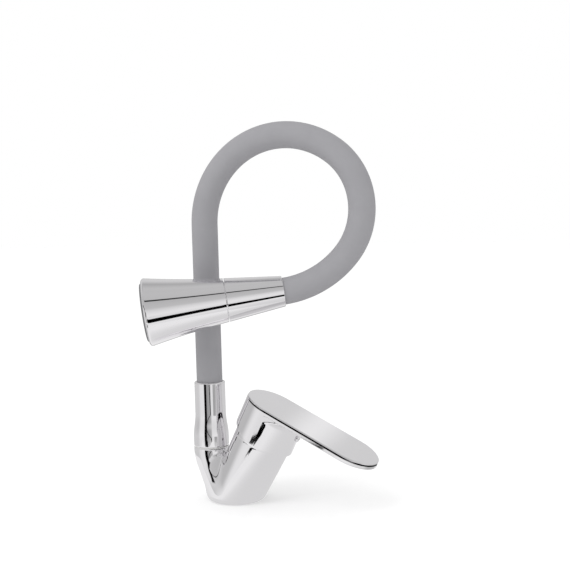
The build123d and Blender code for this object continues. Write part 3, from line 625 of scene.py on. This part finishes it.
# Shoulder: from the collar's radius to the tube's by share squared x (3 - 2 x share)
share = np.linspace(0, 1, socket["shoulderRings"])
shoulder = np.stack(
    [
        socket["shoulderLow"] + (socket["shoulderHigh"] - socket["shoulderLow"]) * share,
        socket["collar"] + (socket["tube"] - socket["collar"]) * share**2 * (3 - 2 * share),
    ],
    axis=1,
)
socketLow = roundedProfile(
    [
        (socket["bottom"], socket["bore"], 0),
        (socket["bottom"], socket["collar"], socket["bottomRound"]),
        (socket["collarTop"], socket["collar"], 0),
    ]
)
socketHigh = roundedProfile(
    [
        (socket["tubeLow"], socket["tube"], 0),
        (socket["top"], socket["tube"], socket["topRound"]),
        (socket["top"], socket["hoseBore"], socket["mouthRound"]),
        (socket["hoseSeat"], socket["hoseBore"], 0),
        (socket["hoseSeat"], socket["bore"], 0),
    ]
)
socketProfile = np.concatenate([socketLow, shoulder, socketHigh])
socketPiece = turnedPiece("spoutSocket", socketProfile, (spout["offset"], 0, 0), upward)
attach(socketPiece, "spout")
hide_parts("spout_socket")
print("spout socket made")

# Arm: riser, three tangent arcs and a straight into the head
arm = {
    "radius": 10.25,
    "bore": 7.1,
    "coreRadius": 7.0,
    "coreBore": 4.75,
    "start": 71.1,
    "riseTop": 218.0,
    "loopAzimuth": 4.0,
    "firstRadius": 67.0,
    "firstTurn": 128.0,
    "secondRadius": 54.0,
    "secondTurn": 90.0,
    "thirdRadius": 69.0,
    "entry": 4.0,
    "endAzimuth": 28.0,  # direction in which the arm runs into the head
    "endSlope": 7.0,
    "bendStart": 35.0,  # degrees along the first arc
    "bendEnd": 85.0,
    "bendLevel": 270.0,
    "sides": 96,
    "rings": {"rise": 40, "first": 90, "second": 60, "third": 44, "entry": 5},
}
endAzimuth, endSlope = math.radians(arm["endAzimuth"]), math.radians(arm["endSlope"])
headDir = -np.array(
    [math.cos(endSlope) * math.cos(endAzimuth), math.cos(endSlope) * math.sin(endAzimuth), math.sin(endSlope)]
)
loopAzimuth = math.radians(arm["loopAzimuth"])
loopForward = np.array([math.cos(loopAzimuth), math.sin(loopAzimuth), 0.0])


# Arc: the start moved inward by radius x (1 - cos) and ahead by radius x sin of the turn so far
def arcRun(start, heading, inward, radius, turnAngle, steps):
    turn = np.radians(np.linspace(0, turnAngle, steps))[:, None]
    points = start + inward * radius * (1 - np.cos(turn)) + heading * radius * np.sin(turn)
    headings = heading * np.cos(turn) + inward * np.sin(turn)
    inwards = inward * np.cos(turn) - heading * np.sin(turn)
    return points, headings, inwards[-1]


riseStart = np.array([spout["offset"], 0, arm["start"]])
riseEnd = np.array([spout["offset"], 0, arm["riseTop"]])
rings = arm["rings"]
rise = np.linspace(riseStart, riseEnd, rings["rise"])
firstArc = (riseEnd, upward, loopForward, arm["firstRadius"])
first, firstHeading, inward = arcRun(*firstArc, arm["firstTurn"], rings["first"])
secondArc = (first[-1], firstHeading[-1], inward, arm["secondRadius"])
second, secondHeading, _ = arcRun(*secondArc, arm["secondTurn"], rings["second"])
alignment = secondHeading[-1] @ headDir
lastTurn = math.degrees(math.acos(np.clip(alignment, -1, 1)))
lastInward = unit(headDir - secondHeading[-1] * alignment)
thirdArc = (second[-1], secondHeading[-1], lastInward, arm["thirdRadius"])
third, thirdHeading, _ = arcRun(*thirdArc, lastTurn, rings["third"])
headStart = third[-1]
entry = np.linspace(headStart, headStart + headDir * arm["entry"], rings["entry"])
route = np.concatenate([rise[:-1], first[:-1], second[:-1], third[:-1], entry])
headings = np.concatenate(
    [
        np.tile(upward, (len(rise) - 1, 1)),
        firstHeading[:-1],
        secondHeading[:-1],
        thirdHeading[:-1],
        np.tile(headDir, (len(entry), 1)),
    ]
)
# Each ring is squared to one side direction all the way, so the tube doesn't twist
loopSide = np.array([loopForward[1], -loopForward[0], 0.0])
across = unit(loopSide - (headings @ loopSide)[:, None] * headings)
outward = np.cross(headings, across)
tubeAngle = np.linspace(0, fullTurn, arm["sides"], endpoint=False)[None, :, None]
bendFrom = arcRun(*firstArc, arm["bendStart"], 2)[0][-1]
bendTo = arcRun(*firstArc, arm["bendEnd"], 2)[0][-1]


# Rings along the route: each place + radius x (cos across + sin outward)
def tubeRows(radius):
    return (
        route[:, None]
        + radius * np.cos(tubeAngle) * across[:, None]
        + radius * np.sin(tubeAngle) * outward[:, None]
    )


# Wall between two radii all along the route
def armTube(name, outer, bore):
    piece = shellPiece(name, np.concatenate([tubeRows(outer), tubeRows(bore)[::-1]]), closed=True)
    start = (bendFrom[0] * millimetre, 0, arm["bendLevel"] * millimetre)
    end = (bendTo[0] * millimetre, 0, arm["bendLevel"] * millimetre)
    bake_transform(piece)
    return piece


sleevePiece = armTube("hoseSleeve", arm["radius"], arm["bore"])
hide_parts("sleeve_lower", "sleeve_bend", "sleeve_upper")
corePiece = armTube("coreTube", arm["coreRadius"], arm["coreBore"])
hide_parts("core_tube_lower", "core_tube_bend", "core_tube_upper")
print("sleeve and core tube made,", len(route), "rings")

# Spray head: rear shell and flared front shell
head = {
    "bore": 10.45,
    "boreEnd": 30.0,
    "rearRadius": 11.7,
    "rearRound": 0.45,
    "rearLength": 43.5,
    "seamRadius": 16.7,
    "seamGap": 0.5,
    "seamRound": 0.35,
    "wall": 2.2,
    "tongueGap": 0.35,
    "tongueWall": 1.6,
    "tongueLength": 6.5,
    "tongueRoot": 4.0,
    "flareStart": 6.4,  # degrees between the cone and the axis at the seam
    "flareSag": 0.65,  # how far the flare lies inside a straight cone
    "frontLength": 105.25,
    "frontRadius": 25.7,
    "frontRound": 2.5,
    "rimWidth": 0.3,
    "faceRadius": 22.3,
    "faceGap": 0.1,
    "faceLedge": 0.9,
    "lipLength": 7.5,
    "throatStart": 50.0,
    "throatEnd": 80.1,
    "throatRadius": 20.3,
    "flareRings": 40,
    "roundRings": 12,
}
tongueRadius = head["seamRadius"] - head["wall"] - head["tongueGap"]
tongueEnd = head["rearLength"] + head["tongueLength"]
tongueBore = tongueRadius - head["tongueWall"]
rearProfile = roundedProfile(
    [
        (0, head["bore"], 0),
        (0, head["rearRadius"], head["rearRound"]),
        (head["rearLength"], head["seamRadius"], head["seamRound"]),
        (head["rearLength"], tongueRadius, 0),
        (tongueEnd, tongueRadius, 0),
        (tongueEnd, tongueBore, 0),
        (head["rearLength"] - head["tongueRoot"], tongueBore, 0),
        (head["boreEnd"], head["bore"], 0),
    ]
)
rearShell = turnedPiece("headRearShell", rearProfile, headStart, headDir)
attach(rearShell, "head")
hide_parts("head_rear_shell")

frontStart = head["rearLength"] + head["seamGap"]
flareEnd = head["frontLength"] - head["frontRound"]
seamRadius = head["seamRadius"] + head["seamGap"] * math.tan(math.radians(head["flareStart"]))


# Arc through three points: the seam, one inside the middle of the straight cone, the front edge.
# Its centre is as far from each: 2 (q - p) . centre = q . q - p . p for two pairs of them.
def flareCurve(count):
    seam = np.array([frontStart + 0.4, seamRadius])
    halfway = (seamRadius + head["frontRadius"]) / 2
    middle = np.array([(frontStart + flareEnd) / 2, halfway - head["flareSag"]])
    front = np.array([flareEnd, head["frontRadius"]])
    sums = np.array([middle @ middle - seam @ seam, front @ front - seam @ seam])
    centre = np.linalg.solve(2 * np.array([middle - seam, front - seam]), sums)
    start, end = (math.atan2(*(place - centre)[::-1]) for place in (seam, front))
    turn = np.linspace(start, end, count)
    return centre + np.linalg.norm(seam - centre) * np.stack([np.cos(turn), np.sin(turn)], axis=1)


flare = flareCurve(head["flareRings"])
# Rounding of the front edge: an arc that leaves the flare tangentially
lean = math.atan2(*(flare[-1] - flare[-2])[::-1])
roundRadius = head["frontRound"] / (1 + math.sin(lean))
roundCentre = flare[-1] + roundRadius * np.array([math.sin(lean), -math.cos(lean)])
roundTurn = np.linspace(lean + math.pi / 2, 0, head["roundRings"])[1:]
edge = roundCentre + roundRadius * np.stack([np.cos(roundTurn), np.sin(roundTurn)], axis=1)
frontEnd, edgeRadius = edge[-1]
lipStart = head["frontLength"] - head["lipLength"]
lipRadius = head["faceRadius"] + head["faceGap"]
inside = roundedProfile(
    [
        (frontEnd, edgeRadius - head["rimWidth"], 0),
        (frontEnd, lipRadius, head["rimWidth"]),
        (lipStart, lipRadius, 0),
        (lipStart, head["faceRadius"] - head["faceLedge"], 0),
        (head["throatEnd"], head["throatRadius"], 0),
        (head["throatStart"], seamRadius - head["wall"], 0),
        (frontStart, seamRadius - head["wall"], 0),
        (frontStart, seamRadius, head["seamRound"]),
        (frontStart + 1.0, seamRadius + 0.11, 0),  # direction in which the seam's rounding ends
    ]
)[:-1]
frontProfile = np.concatenate([flare[1:], edge, inside])
frontShell = turnedPiece("headFrontShell", frontProfile, headStart, headDir)
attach(frontShell, "nozzle")
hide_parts("head_front_shell")

# Soft mat behind the face; its tips come through two circles of holes and stand out a little
mat = {
    "start": 98.0,
    "end": 100.48,
    "innerRadius": 9.85,
    "outerRadius": 21.7,
    "tipRadius": 1.04,
    "tipBore": 0.45,
    "tipRoot": 100.38,
    "tipEnd": 106.7,
    "tipRound": 0.2,
    "boreRound": 0.1,
    "circles": [(13.2, 10), (18.4, 16)],  # radius and number of tips
    "sides": 96,
    "tipSides": 20,
}
headSide = unit(np.cross(headDir, upward))
headRise = np.cross(headDir, headSide)
matProfile = ringCorners(mat["start"], mat["end"], mat["innerRadius"], mat["outerRadius"])
tipProfile = roundedProfile(
    [
        (mat["tipRoot"], mat["tipBore"], 0),
        (mat["tipRoot"], mat["tipRadius"], 0),
        (mat["tipEnd"], mat["tipRadius"], mat["tipRound"]),
        (mat["tipEnd"], mat["tipBore"], mat["boreRound"]),
    ],
    steps=4,
    support=0.05,
)
matParts = [turnedPiece("matRing", matProfile, headStart, headDir, sides=mat["sides"])]
for circleRadius, count in mat["circles"]:
    for turn in np.arange(count) * fullTurn / count:
        tipPlace = headStart + circleRadius * (math.cos(turn) * headSide + math.sin(turn) * headRise)
        matParts.append(turnedPiece("tip", tipProfile, tipPlace, headDir, sides=mat["tipSides"]))
matPiece = joinPieces("nozzleMat", matParts)
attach(matPiece, "nozzle")
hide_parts("nozzle_mat")
print("spray head made, front end at", round(frontEnd, 2))


# A shader value for Python expressions: each operator adds a Math node
class Sock:
    def __init__(self, tree, socket=None):
        self.tree = tree
        self.socket = socket

    # Adds a node: its settings are set first, then each input gets its value or its link
    def node(self, kind, settings=None, inputs=None, output=0):
        node = self.tree.nodes.new("ShaderNode" + kind)
        for key, value in (settings or {}).items():
            if key == "stops":
                elements = node.color_ramp.elements
                while len(elements) < len(value):
                    elements.new(0.5)
                for element, (position, colour) in zip(elements, value):
                    element.position = position
                    element.color = colour
            else:
                setattr(node, key, value)
        for key, value in (inputs or {}).items():
            if isinstance(value, Sock):
                self.tree.links.new(value.socket, node.inputs[key])
            else:
                node.inputs[key].default_value = value
        return Sock(self.tree, node.outputs[output]) if len(node.outputs) else None

    def math(self, operation, *values):
        return self.node("Math", {"operation": operation}, dict(enumerate(values)))

    def __add__(self, other):
        return self.math("ADD", self, other)

    def __sub__(self, other):
        return self.math("SUBTRACT", self, other)

    def __rsub__(self, other):
        return self.math("SUBTRACT", other, self)

    def __mul__(self, other):
        return self.math("MULTIPLY", self, other)

    def __truediv__(self, other):
        return self.math("DIVIDE", self, other)

    def __rtruediv__(self, other):
        return self.math("DIVIDE", other, self)

    __radd__ = __add__
    __rmul__ = __mul__


# Empty material and its Object coordinates
def newMaterial(name):
    material = bpy.data.materials.new(name)
    material.use_nodes = True
    material.node_tree.nodes.clear()
    return material, Sock(material.node_tree).node("TexCoord", output="Object")


# Ends a material or the world in an even glow of white x strength
def finishGlow(start, kind, output, strength):
    shader = start.node(kind, inputs={"Color": (1, 1, 1, 1), "Strength": strength})
    start.node(output, inputs={"Surface": shader})


# Cloudy values about 0.5; the scale is in clouds for each metre
def noise(coords, scale, detail, roughness=0.5):
    inputs = {"Vector": coords, "Scale": scale, "Detail": detail, "Roughness": roughness}
    return coords.node("TexNoise", inputs=inputs)


# Colour = (1 - factor) x the dark one + factor x the light one
def mixColour(factor, dark, light):
    colours = {"Factor": factor, 6: dark, 7: light}  # 6 and 7 are the node's colour inputs
    return factor.node("Mix", {"data_type": "RGBA"}, colours, 2)


# Normal tilted by the slope of a height, whose 0 to 1 spans the distance in metres
def bump(height, strength, distance):
    return height.node("Bump", inputs={"Height": height, "Strength": strength, "Distance": distance})


# Coordinates multiplied by a scale for each axis, so noise becomes long marks
def stretched(coords, scale):
    return coords.node("Mapping", inputs={"Vector": coords, "Scale": scale})


# Darker and lighter colour and lowest roughness of each finish
looks = {
    "chromePlate": ((0.905, 0.895, 0.912, 1), (0.945, 0.933, 0.948, 1), 0.035),
    "greySilicone": ((0.335, 0.331, 0.35, 1), (0.388, 0.384, 0.402, 1), 0.52),
    "blackRubber": ((0.018, 0.018, 0.02, 1), (0.035, 0.035, 0.037, 1), 0.6),
    "turnedBrass": ((0.66, 0.5, 0.24, 1), (0.78, 0.62, 0.34, 1), 0.22),
    "stainlessSteel": ((0.52, 0.52, 0.53, 1), (0.64, 0.64, 0.65, 1), 0.26),
    "whiteAcetal": ((0.76, 0.76, 0.74, 1), (0.84, 0.84, 0.82, 1), 0.38),
    "greyNylon": ((0.16, 0.16, 0.165, 1), (0.22, 0.22, 0.225, 1), 0.4),
    "lappedCeramic": ((0.8, 0.78, 0.73, 1), (0.88, 0.86, 0.81, 1), 0.16),
}


# Ends a finish in one shader: colour from dark to light and roughness from its lowest value
# upwards, both by the same cloud, and the other inputs as given
def finishMaterial(material, cloud, spread, inputs, haze=None):
    dark, light, lowest = looks[material.name]
    roughness = lowest + cloud * spread
    if haze is not None:
        roughness = roughness + haze
    colour = mixColour(cloud, dark, light)
    shader = cloud.node("BsdfPrincipled", inputs={"Base Color": colour, "Roughness": roughness, **inputs})
    cloud.node("OutputMaterial", inputs={"Surface": shader})
    return material


# Bright chrome plate: nearly a mirror, with a wide and a fine haze in its roughness
def chromeMaterial(name):
    material, coords = newMaterial(name)
    wide = noise(coords, scale=34.0, detail=4.0)
    fine = noise(coords, scale=420.0, detail=2.0)
    return finishMaterial(material, wide, 0.02, {"Metallic": 1.0}, haze=fine * 0.008)


# Grey silicone: dust over it, and the bump of a fine silky grain
def siliconeMaterial(name):
    material, coords = newMaterial(name)
    dust = noise(coords, scale=60.0, detail=5.0, roughness=0.6)
    grain = noise(coords, scale=1400.0, detail=2.0)
    normal = bump(grain, strength=0.25, distance=0.00005)
    return finishMaterial(material, dust, 0.12, {"Specular IOR Level": 0.35, "Normal": normal})


# Black rubber: dust over it, which is its bump too
def rubberMaterial(name):
    material, coords = newMaterial(name)
    dust = noise(coords, scale=180.0, detail=4.0)
    return finishMaterial(material, dust, 0.2, {"Normal": bump(dust, strength=0.2, distance=0.0001)})


# Bare metal with tool marks: a stretched noise, which is its bump too
def metalMaterial(name, stretch, detail, strength):
    material, coords = newMaterial(name)
    marks = noise(stretched(coords, stretch), scale=2.0, detail=detail)
    normal = bump(marks, strength, distance=0.00004)
    return finishMaterial(material, marks, 0.14, {"Metallic": 1.0, "Normal": normal})


# Moulded plastic: a wide cloud, and the bump of a fine spark-eroded grain
def plasticMaterial(name):
    material, coords = newMaterial(name)
    cloud = noise(coords, scale=40.0, detail=3.0)
    grain = noise(coords, scale=1100.0, detail=2.0)
    return finishMaterial(material, cloud, 0.1, {"Normal": bump(grain, strength=0.2, distance=0.00006)})


finishes = {
    "chrome": chromeMaterial("chromePlate"),
    "brass": metalMaterial("turnedBrass", (4.0, 4.0, 900.0), detail=2.0, strength=0.15),
    "stainless_steel": metalMaterial("stainlessSteel", (300.0, 300.0, 8.0), detail=3.0, strength=0.12),
    "grey_silicone": siliconeMaterial("greySilicone"),
    "black_rubber": rubberMaterial("blackRubber"),
    "white_plastic": plasticMaterial("whiteAcetal"),
    "grey_plastic": plasticMaterial("greyNylon"),
    "ceramic": plasticMaterial("lappedCeramic"),
}
pieceFinishes = [
    (bodyPiece, "chrome"),
    (ringPiece, "chrome"),
    (leverPiece, "chrome"),
    (plugPiece, "chrome"),
    (socketPiece, "chrome"),
    (rearShell, "chrome"),
    (frontShell, "chrome"),
    (sleevePiece, "grey_silicone"),
    (corePiece, nodeSlots["core_tube_bend"]),
    (matPiece, nodeSlots["nozzle_mat"]),
]
for piece, slotName in pieceFinishes:
    piece.data.materials.clear()
    piece.data.materials.append(finishes[slotName])
for name, node in nodes.items():
    for materialSlot in node.material_slots:
        materialSlot.material = finishes[nodeSlots[name]]
print("materials made")

# Camera as fitted to the photograph; angles in degrees
view = {
    "azimuth": 24.15,
    "elevation": 3.99,
    "roll": 1.545,
    "distance": 800.0,
    "focalPixels": 1044.14,
    "target": (48.23, 0.0, 170.41),
    "imageSize": 570,
    "sensorWidth": 36.0,
}
azimuth, elevation, roll = (math.radians(view[key]) for key in ("azimuth", "elevation", "roll"))
backward = np.array(
    [math.sin(azimuth) * math.cos(elevation), -math.cos(azimuth) * math.cos(elevation), math.sin(elevation)]
)
viewRight = np.array([math.cos(azimuth), math.sin(azimuth), 0.0])
viewUp = np.cross(backward, viewRight)
cameraRight = math.cos(roll) * viewRight - math.sin(roll) * viewUp
cameraUp = math.sin(roll) * viewRight + math.cos(roll) * viewUp
cameraPlace = (np.array(view["target"]) + backward * view["distance"]) * millimetre
cameraData = bpy.data.cameras.new("camera")
cameraData.sensor_width = view["sensorWidth"]
cameraData.lens = view["focalPixels"] / view["imageSize"] * view["sensorWidth"]
camera = addObject("camera", cameraData)
cameraTurn = Matrix([cameraRight, cameraUp, backward]).transposed()
camera.matrix_world = Matrix.Translation(Vector(cameraPlace)) @ cameraTurn.to_4x4()
bpy.context.scene.camera = camera
print("camera placed")

# Floors; outlines and levels in millimetres
floor = {
    "outline": [(-6000, -6000), (6000, -6000), (6000, 6000), (-6000, 6000)],
    "dark": (0.94, 0.94, 0.94, 1),
    "light": (0.96, 0.96, 0.96, 1),
    "glow": 0.2,  # added where the camera sees the floor, so that it shows white
}
# Glowing sheet for mirrors only: a painted reflection of the floor, with painted shade round the foot
nearFloor = {
    "outline": [(-150, -203), (134, -203), (134, 150), (-150, 150)],
    "level": -0.2,
    # middle of the painted shade round the foot
    "footShadePlace": (60, 10, 0),
    "dim": 0.69,
    "bright": 0.86,
    "footShadeReach": 50.0,
    "brightReach": 140.0,
}
# Painted dark reflection: an unlit strip that only mirrors see, lying over the glowing floor sheet
mirrorDarkStrip = {  # dark strip that makes the slanted stripe on the lever's skirt
    "outline": [(-88, -300), (-40, -266), (2, -234), (2, -190), (-40, -195), (-56, -220), (-88, -232)],
    "level": -0.1,
}


# Flat face from the corners of an outline at one level
def flatPiece(name, outline, level, material):
    mesh = bpy.data.meshes.new(name)
    corners = [(x * millimetre, y * millimetre, level * millimetre) for x, y in outline]
    mesh.from_pydata(corners, [], [list(range(len(corners)))])
    mesh.materials.append(material)
    return addObject(name, mesh)


# Smooth change from a start value to an end value as another value goes from low to high
def fade(value, low, high, start, end):
    inputs = {"Value": value, "From Min": low, "From Max": high, "To Min": start, "To Max": end}
    return value.node("MapRange", {"interpolation_type": "SMOOTHSTEP"}, inputs)


# 1 where a value is within half of the middle, 0 outside, with soft edges
def band(value, middle, half, soft):
    away = value - middle
    return fade(away.math("ABSOLUTE", away), half - soft, half + soft, 1.0, 0.0)


# Matt pale floor that keeps the shadow; the camera also sees a little glow on it
floorMaterial, coords = newMaterial("paleFloor")
cloud = noise(coords, scale=3.0, detail=2.0)
matt = coords.node("BsdfDiffuse", inputs={"Color": mixColour(cloud, floor["dark"], floor["light"])})
glow = coords.node("Emission", inputs={"Color": (1, 1, 1, 1), "Strength": floor["glow"]})
lit = coords.node("AddShader", inputs={0: matt, 1: glow})
cameraRay = coords.node("LightPath", output="Is Camera Ray")
shown = coords.node("MixShader", inputs={0: cameraRay, 1: matt, 2: lit})
coords.node("OutputMaterial", inputs={"Surface": shown})
floorPiece = flatPiece("floor", floor["outline"], 0, floorMaterial)
floorPiece.visible_glossy = False

# Floor as mirrors see it, a glowing sheet that paints the floor's reflection: dimmer at the foot with painted
# shade, brighter in front, ending before the tent
nearMaterial, coords = newMaterial("nearFloorGlow")
footShadePlace = tuple(number * millimetre for number in nearFloor["footShadePlace"])
reach = coords.node("VectorMath", {"operation": "DISTANCE"}, {0: coords, 1: footShadePlace}, "Value")
footShadeReach, brightReach = nearFloor["footShadeReach"] * millimetre, nearFloor["brightReach"] * millimetre
nearGlow = fade(reach, footShadeReach, brightReach, nearFloor["dim"], nearFloor["bright"])
finishGlow(coords, "Emission", "OutputMaterial", nearGlow)
darkStripMaterial, coords = newMaterial("mirrorDarkSheet")
finishGlow(coords, "Emission", "OutputMaterial", 0.0)
nearPiece = flatPiece("nearFloor", nearFloor["outline"], nearFloor["level"], nearMaterial)
darkStripPiece = flatPiece("mirrorDarkStrip", mirrorDarkStrip["outline"], mirrorDarkStrip["level"], darkStripMaterial)
for piece in (nearPiece, darkStripPiece):  # only mirrors see these two
    piece.visible_camera = False
    piece.visible_diffuse = False
    piece.visible_shadow = False
print("floors made")

# Pale tent that mirrors see. Places are degrees right of the camera's direction and above the
# horizon, sizes are half sizes, and a span or level is middle, half size and softness.
tent = {
    "plainLevel": 0.86,  # what lights matt surfaces
    "frontFrom": (-0.1, 0.35),  # where the back fades into the front, as a share of straight ahead
    "front": [
        (-90, 0.60), (-70, 0.66), (-45, 0.72), (-32, 0.82), (-14, 0.76), (-5, 0.82),
        (3, 0.76), (10, 0.68), (18, 0.53), (38, 0.48), (50, 0.52), (90, 0.55),
    ],
    "back": [
        (-90, 0.55), (-60, 0.38), (-30, 0.52), (-10, 0.64), (3, 0.5),
        (15, 0.6), (25, 0.66), (45, 0.62), (65, 0.42), (85, 0.54),
    ],
    "lobe": {"place": (160.1, 25.5), "size": (1.0, 8.0), "soft": (1.0, 5.0), "gain": 0.2},
    "panels": [  # uneven panels near the horizon, seen in the upright tube
        {"span": (-8.0, 17.0, 2.0), "level": (-4.0, 9.0, 2.5)},
        {"span": (62.0, 38.5, 1.5), "level": (-10.6, 1.9, 0.8)},
    ],
    "streaks": [
        (-26, 0.29), (-15, 0.33), (-3, 0.38), (6, 0.47), (12, 0.64), (22, 0.68), (25, 0.36),
        (46, 0.40), (50, 0.72), (60, 0.72), (64, 0.42), (100, 0.38),
    ],
    "upright": {"place": (-32.8, -9.5), "size": (9.0, 22.5), "soft": (1.0, 1.0)},
    "crossing": {"slope": 0.5, "from": 34.0, "band": (-17.0, 1.4, 0.3)},  # bright line across it
    "arches": [
        {"crest": (-58.0, 11.5), "bow": 0.0125, "span": (-56.5, 20.5, 2.0), "half": 3.3, "soft": 0.8},
        {"crest": (-96.0, 21.1), "bow": 0.0039, "span": (-98.0, 58.0, 4.0), "half": 0.75, "soft": 0.4},
        {"crest": (87.0, -29.8), "bow": -0.00265, "span": (62.5, 89.5, 3.0), "half": 1.2, "soft": 0.4},
    ],
    "gaps": [
        {"place": (24.0, -23.5), "size": (26.0, 6.2), "soft": (4.0, 0.8), "depth": 1.0},
        {"place": (24.0, 43.5), "size": (30.0, 2.6), "soft": (6.0, 1.2), "depth": 0.95},
    ],
}


# World: dark gaps cut the tent's brightness as (1 - gap), and only mirrors see the result;
# strength = glossy ray x tent + (1 - glossy ray) x plain level, which is 1 for the camera
def makeWorld():
    world = bpy.data.worlds.new("studio")
    bpy.context.scene.world = world
    world.use_nodes = True
    world.node_tree.nodes.clear()
    start = Sock(world.node_tree)
    direction = start.node("TexCoord", output="Generated")
    ahead = (math.sin(azimuth), -math.cos(azimuth), 0.0)
    right, front, up = (
        start.node("VectorMath", {"operation": "DOT_PRODUCT"}, {0: direction, 1: axis}, "Value")
        for axis in (tuple(viewRight), ahead, tuple(upward))
    )
    degrees = 180 / math.pi
    aside = right.math("ARCTAN2", right, front) * degrees
    above = up.math("ARCSINE", up) * degrees

    # Soft rectangle of angles
    def patch(form):
        middle, half, soft = form["place"], form["size"], form["soft"]
        return band(aside, middle[0], half[0], soft[0]) * band(above, middle[1], half[1], soft[1])

    # Brightness by an angle that goes from -limit to limit
    def ladder(value, limit, stops):
        greys = [((place + limit) / (2 * limit), (grey, grey, grey, 1)) for place, grey in stops]
        return start.node("ValToRGB", {"stops": greys}, {"Fac": (value + limit) / (2 * limit)})

    facing = fade(front, *tent["frontFrom"], 0.0, 1.0)
    pale = ladder(above, 90, tent["front"]) * facing + ladder(above, 90, tent["back"]) * (1 - facing)
    mirrored = pale + patch(tent["lobe"]) * tent["lobe"]["gain"]
    streak = ladder(aside, 180, tent["streaks"])
    for panel in tent["panels"]:
        share = band(aside, *panel["span"]) * band(above, *panel["level"])
        mirrored = mirrored * (1 - share) + streak * share
    crossing = tent["crossing"]
    slanted = above + (aside + crossing["from"]) * crossing["slope"]
    mirrored = mirrored * (1 - patch(tent["upright"]) * (1 - band(slanted, *crossing["band"])))
    for arch in tent["arches"]:
        away = aside - arch["crest"][0]
        curved = band(above + away * away * arch["bow"], arch["crest"][1], arch["half"], arch["soft"])
        mirrored = mirrored * (1 - band(aside, *arch["span"]) * curved)
    for gap in tent["gaps"]:
        mirrored = mirrored * (1 - patch(gap) * gap["depth"])
    glossyRay = start.node("LightPath", output="Is Glossy Ray")
    cameraRay = start.node("LightPath", output="Is Camera Ray")
    plain = cameraRay + (1 - cameraRay) * tent["plainLevel"]
    finishGlow(start, "Background", "OutputWorld", glossyRay * mirrored + (1 - glossyRay) * plain)


makeWorld()

# One soft lamp in front, above and to the left; places and size in metres
lamp = {"place": (-0.5, -1.1, 1.5), "target": (0.03, 0, 0.16), "size": 1.2, "power": 7.0}
lampData = bpy.data.lights.new("keyLight", "AREA")
lampData.shape = "DISK"
lampData.size = lamp["size"]
lampData.energy = lamp["power"]
keyLamp = addObject("keyLight", lampData)
keyLamp.location = lamp["place"]
keyLamp.rotation_mode = "QUATERNION"
keyLamp.rotation_quaternion = (Vector(lamp["target"]) - Vector(lamp["place"])).to_track_quat("-Z", "Y")
keyLamp.visible_glossy = False
bpy.context.scene.view_settings.view_transform = "Standard"

print("studio made")
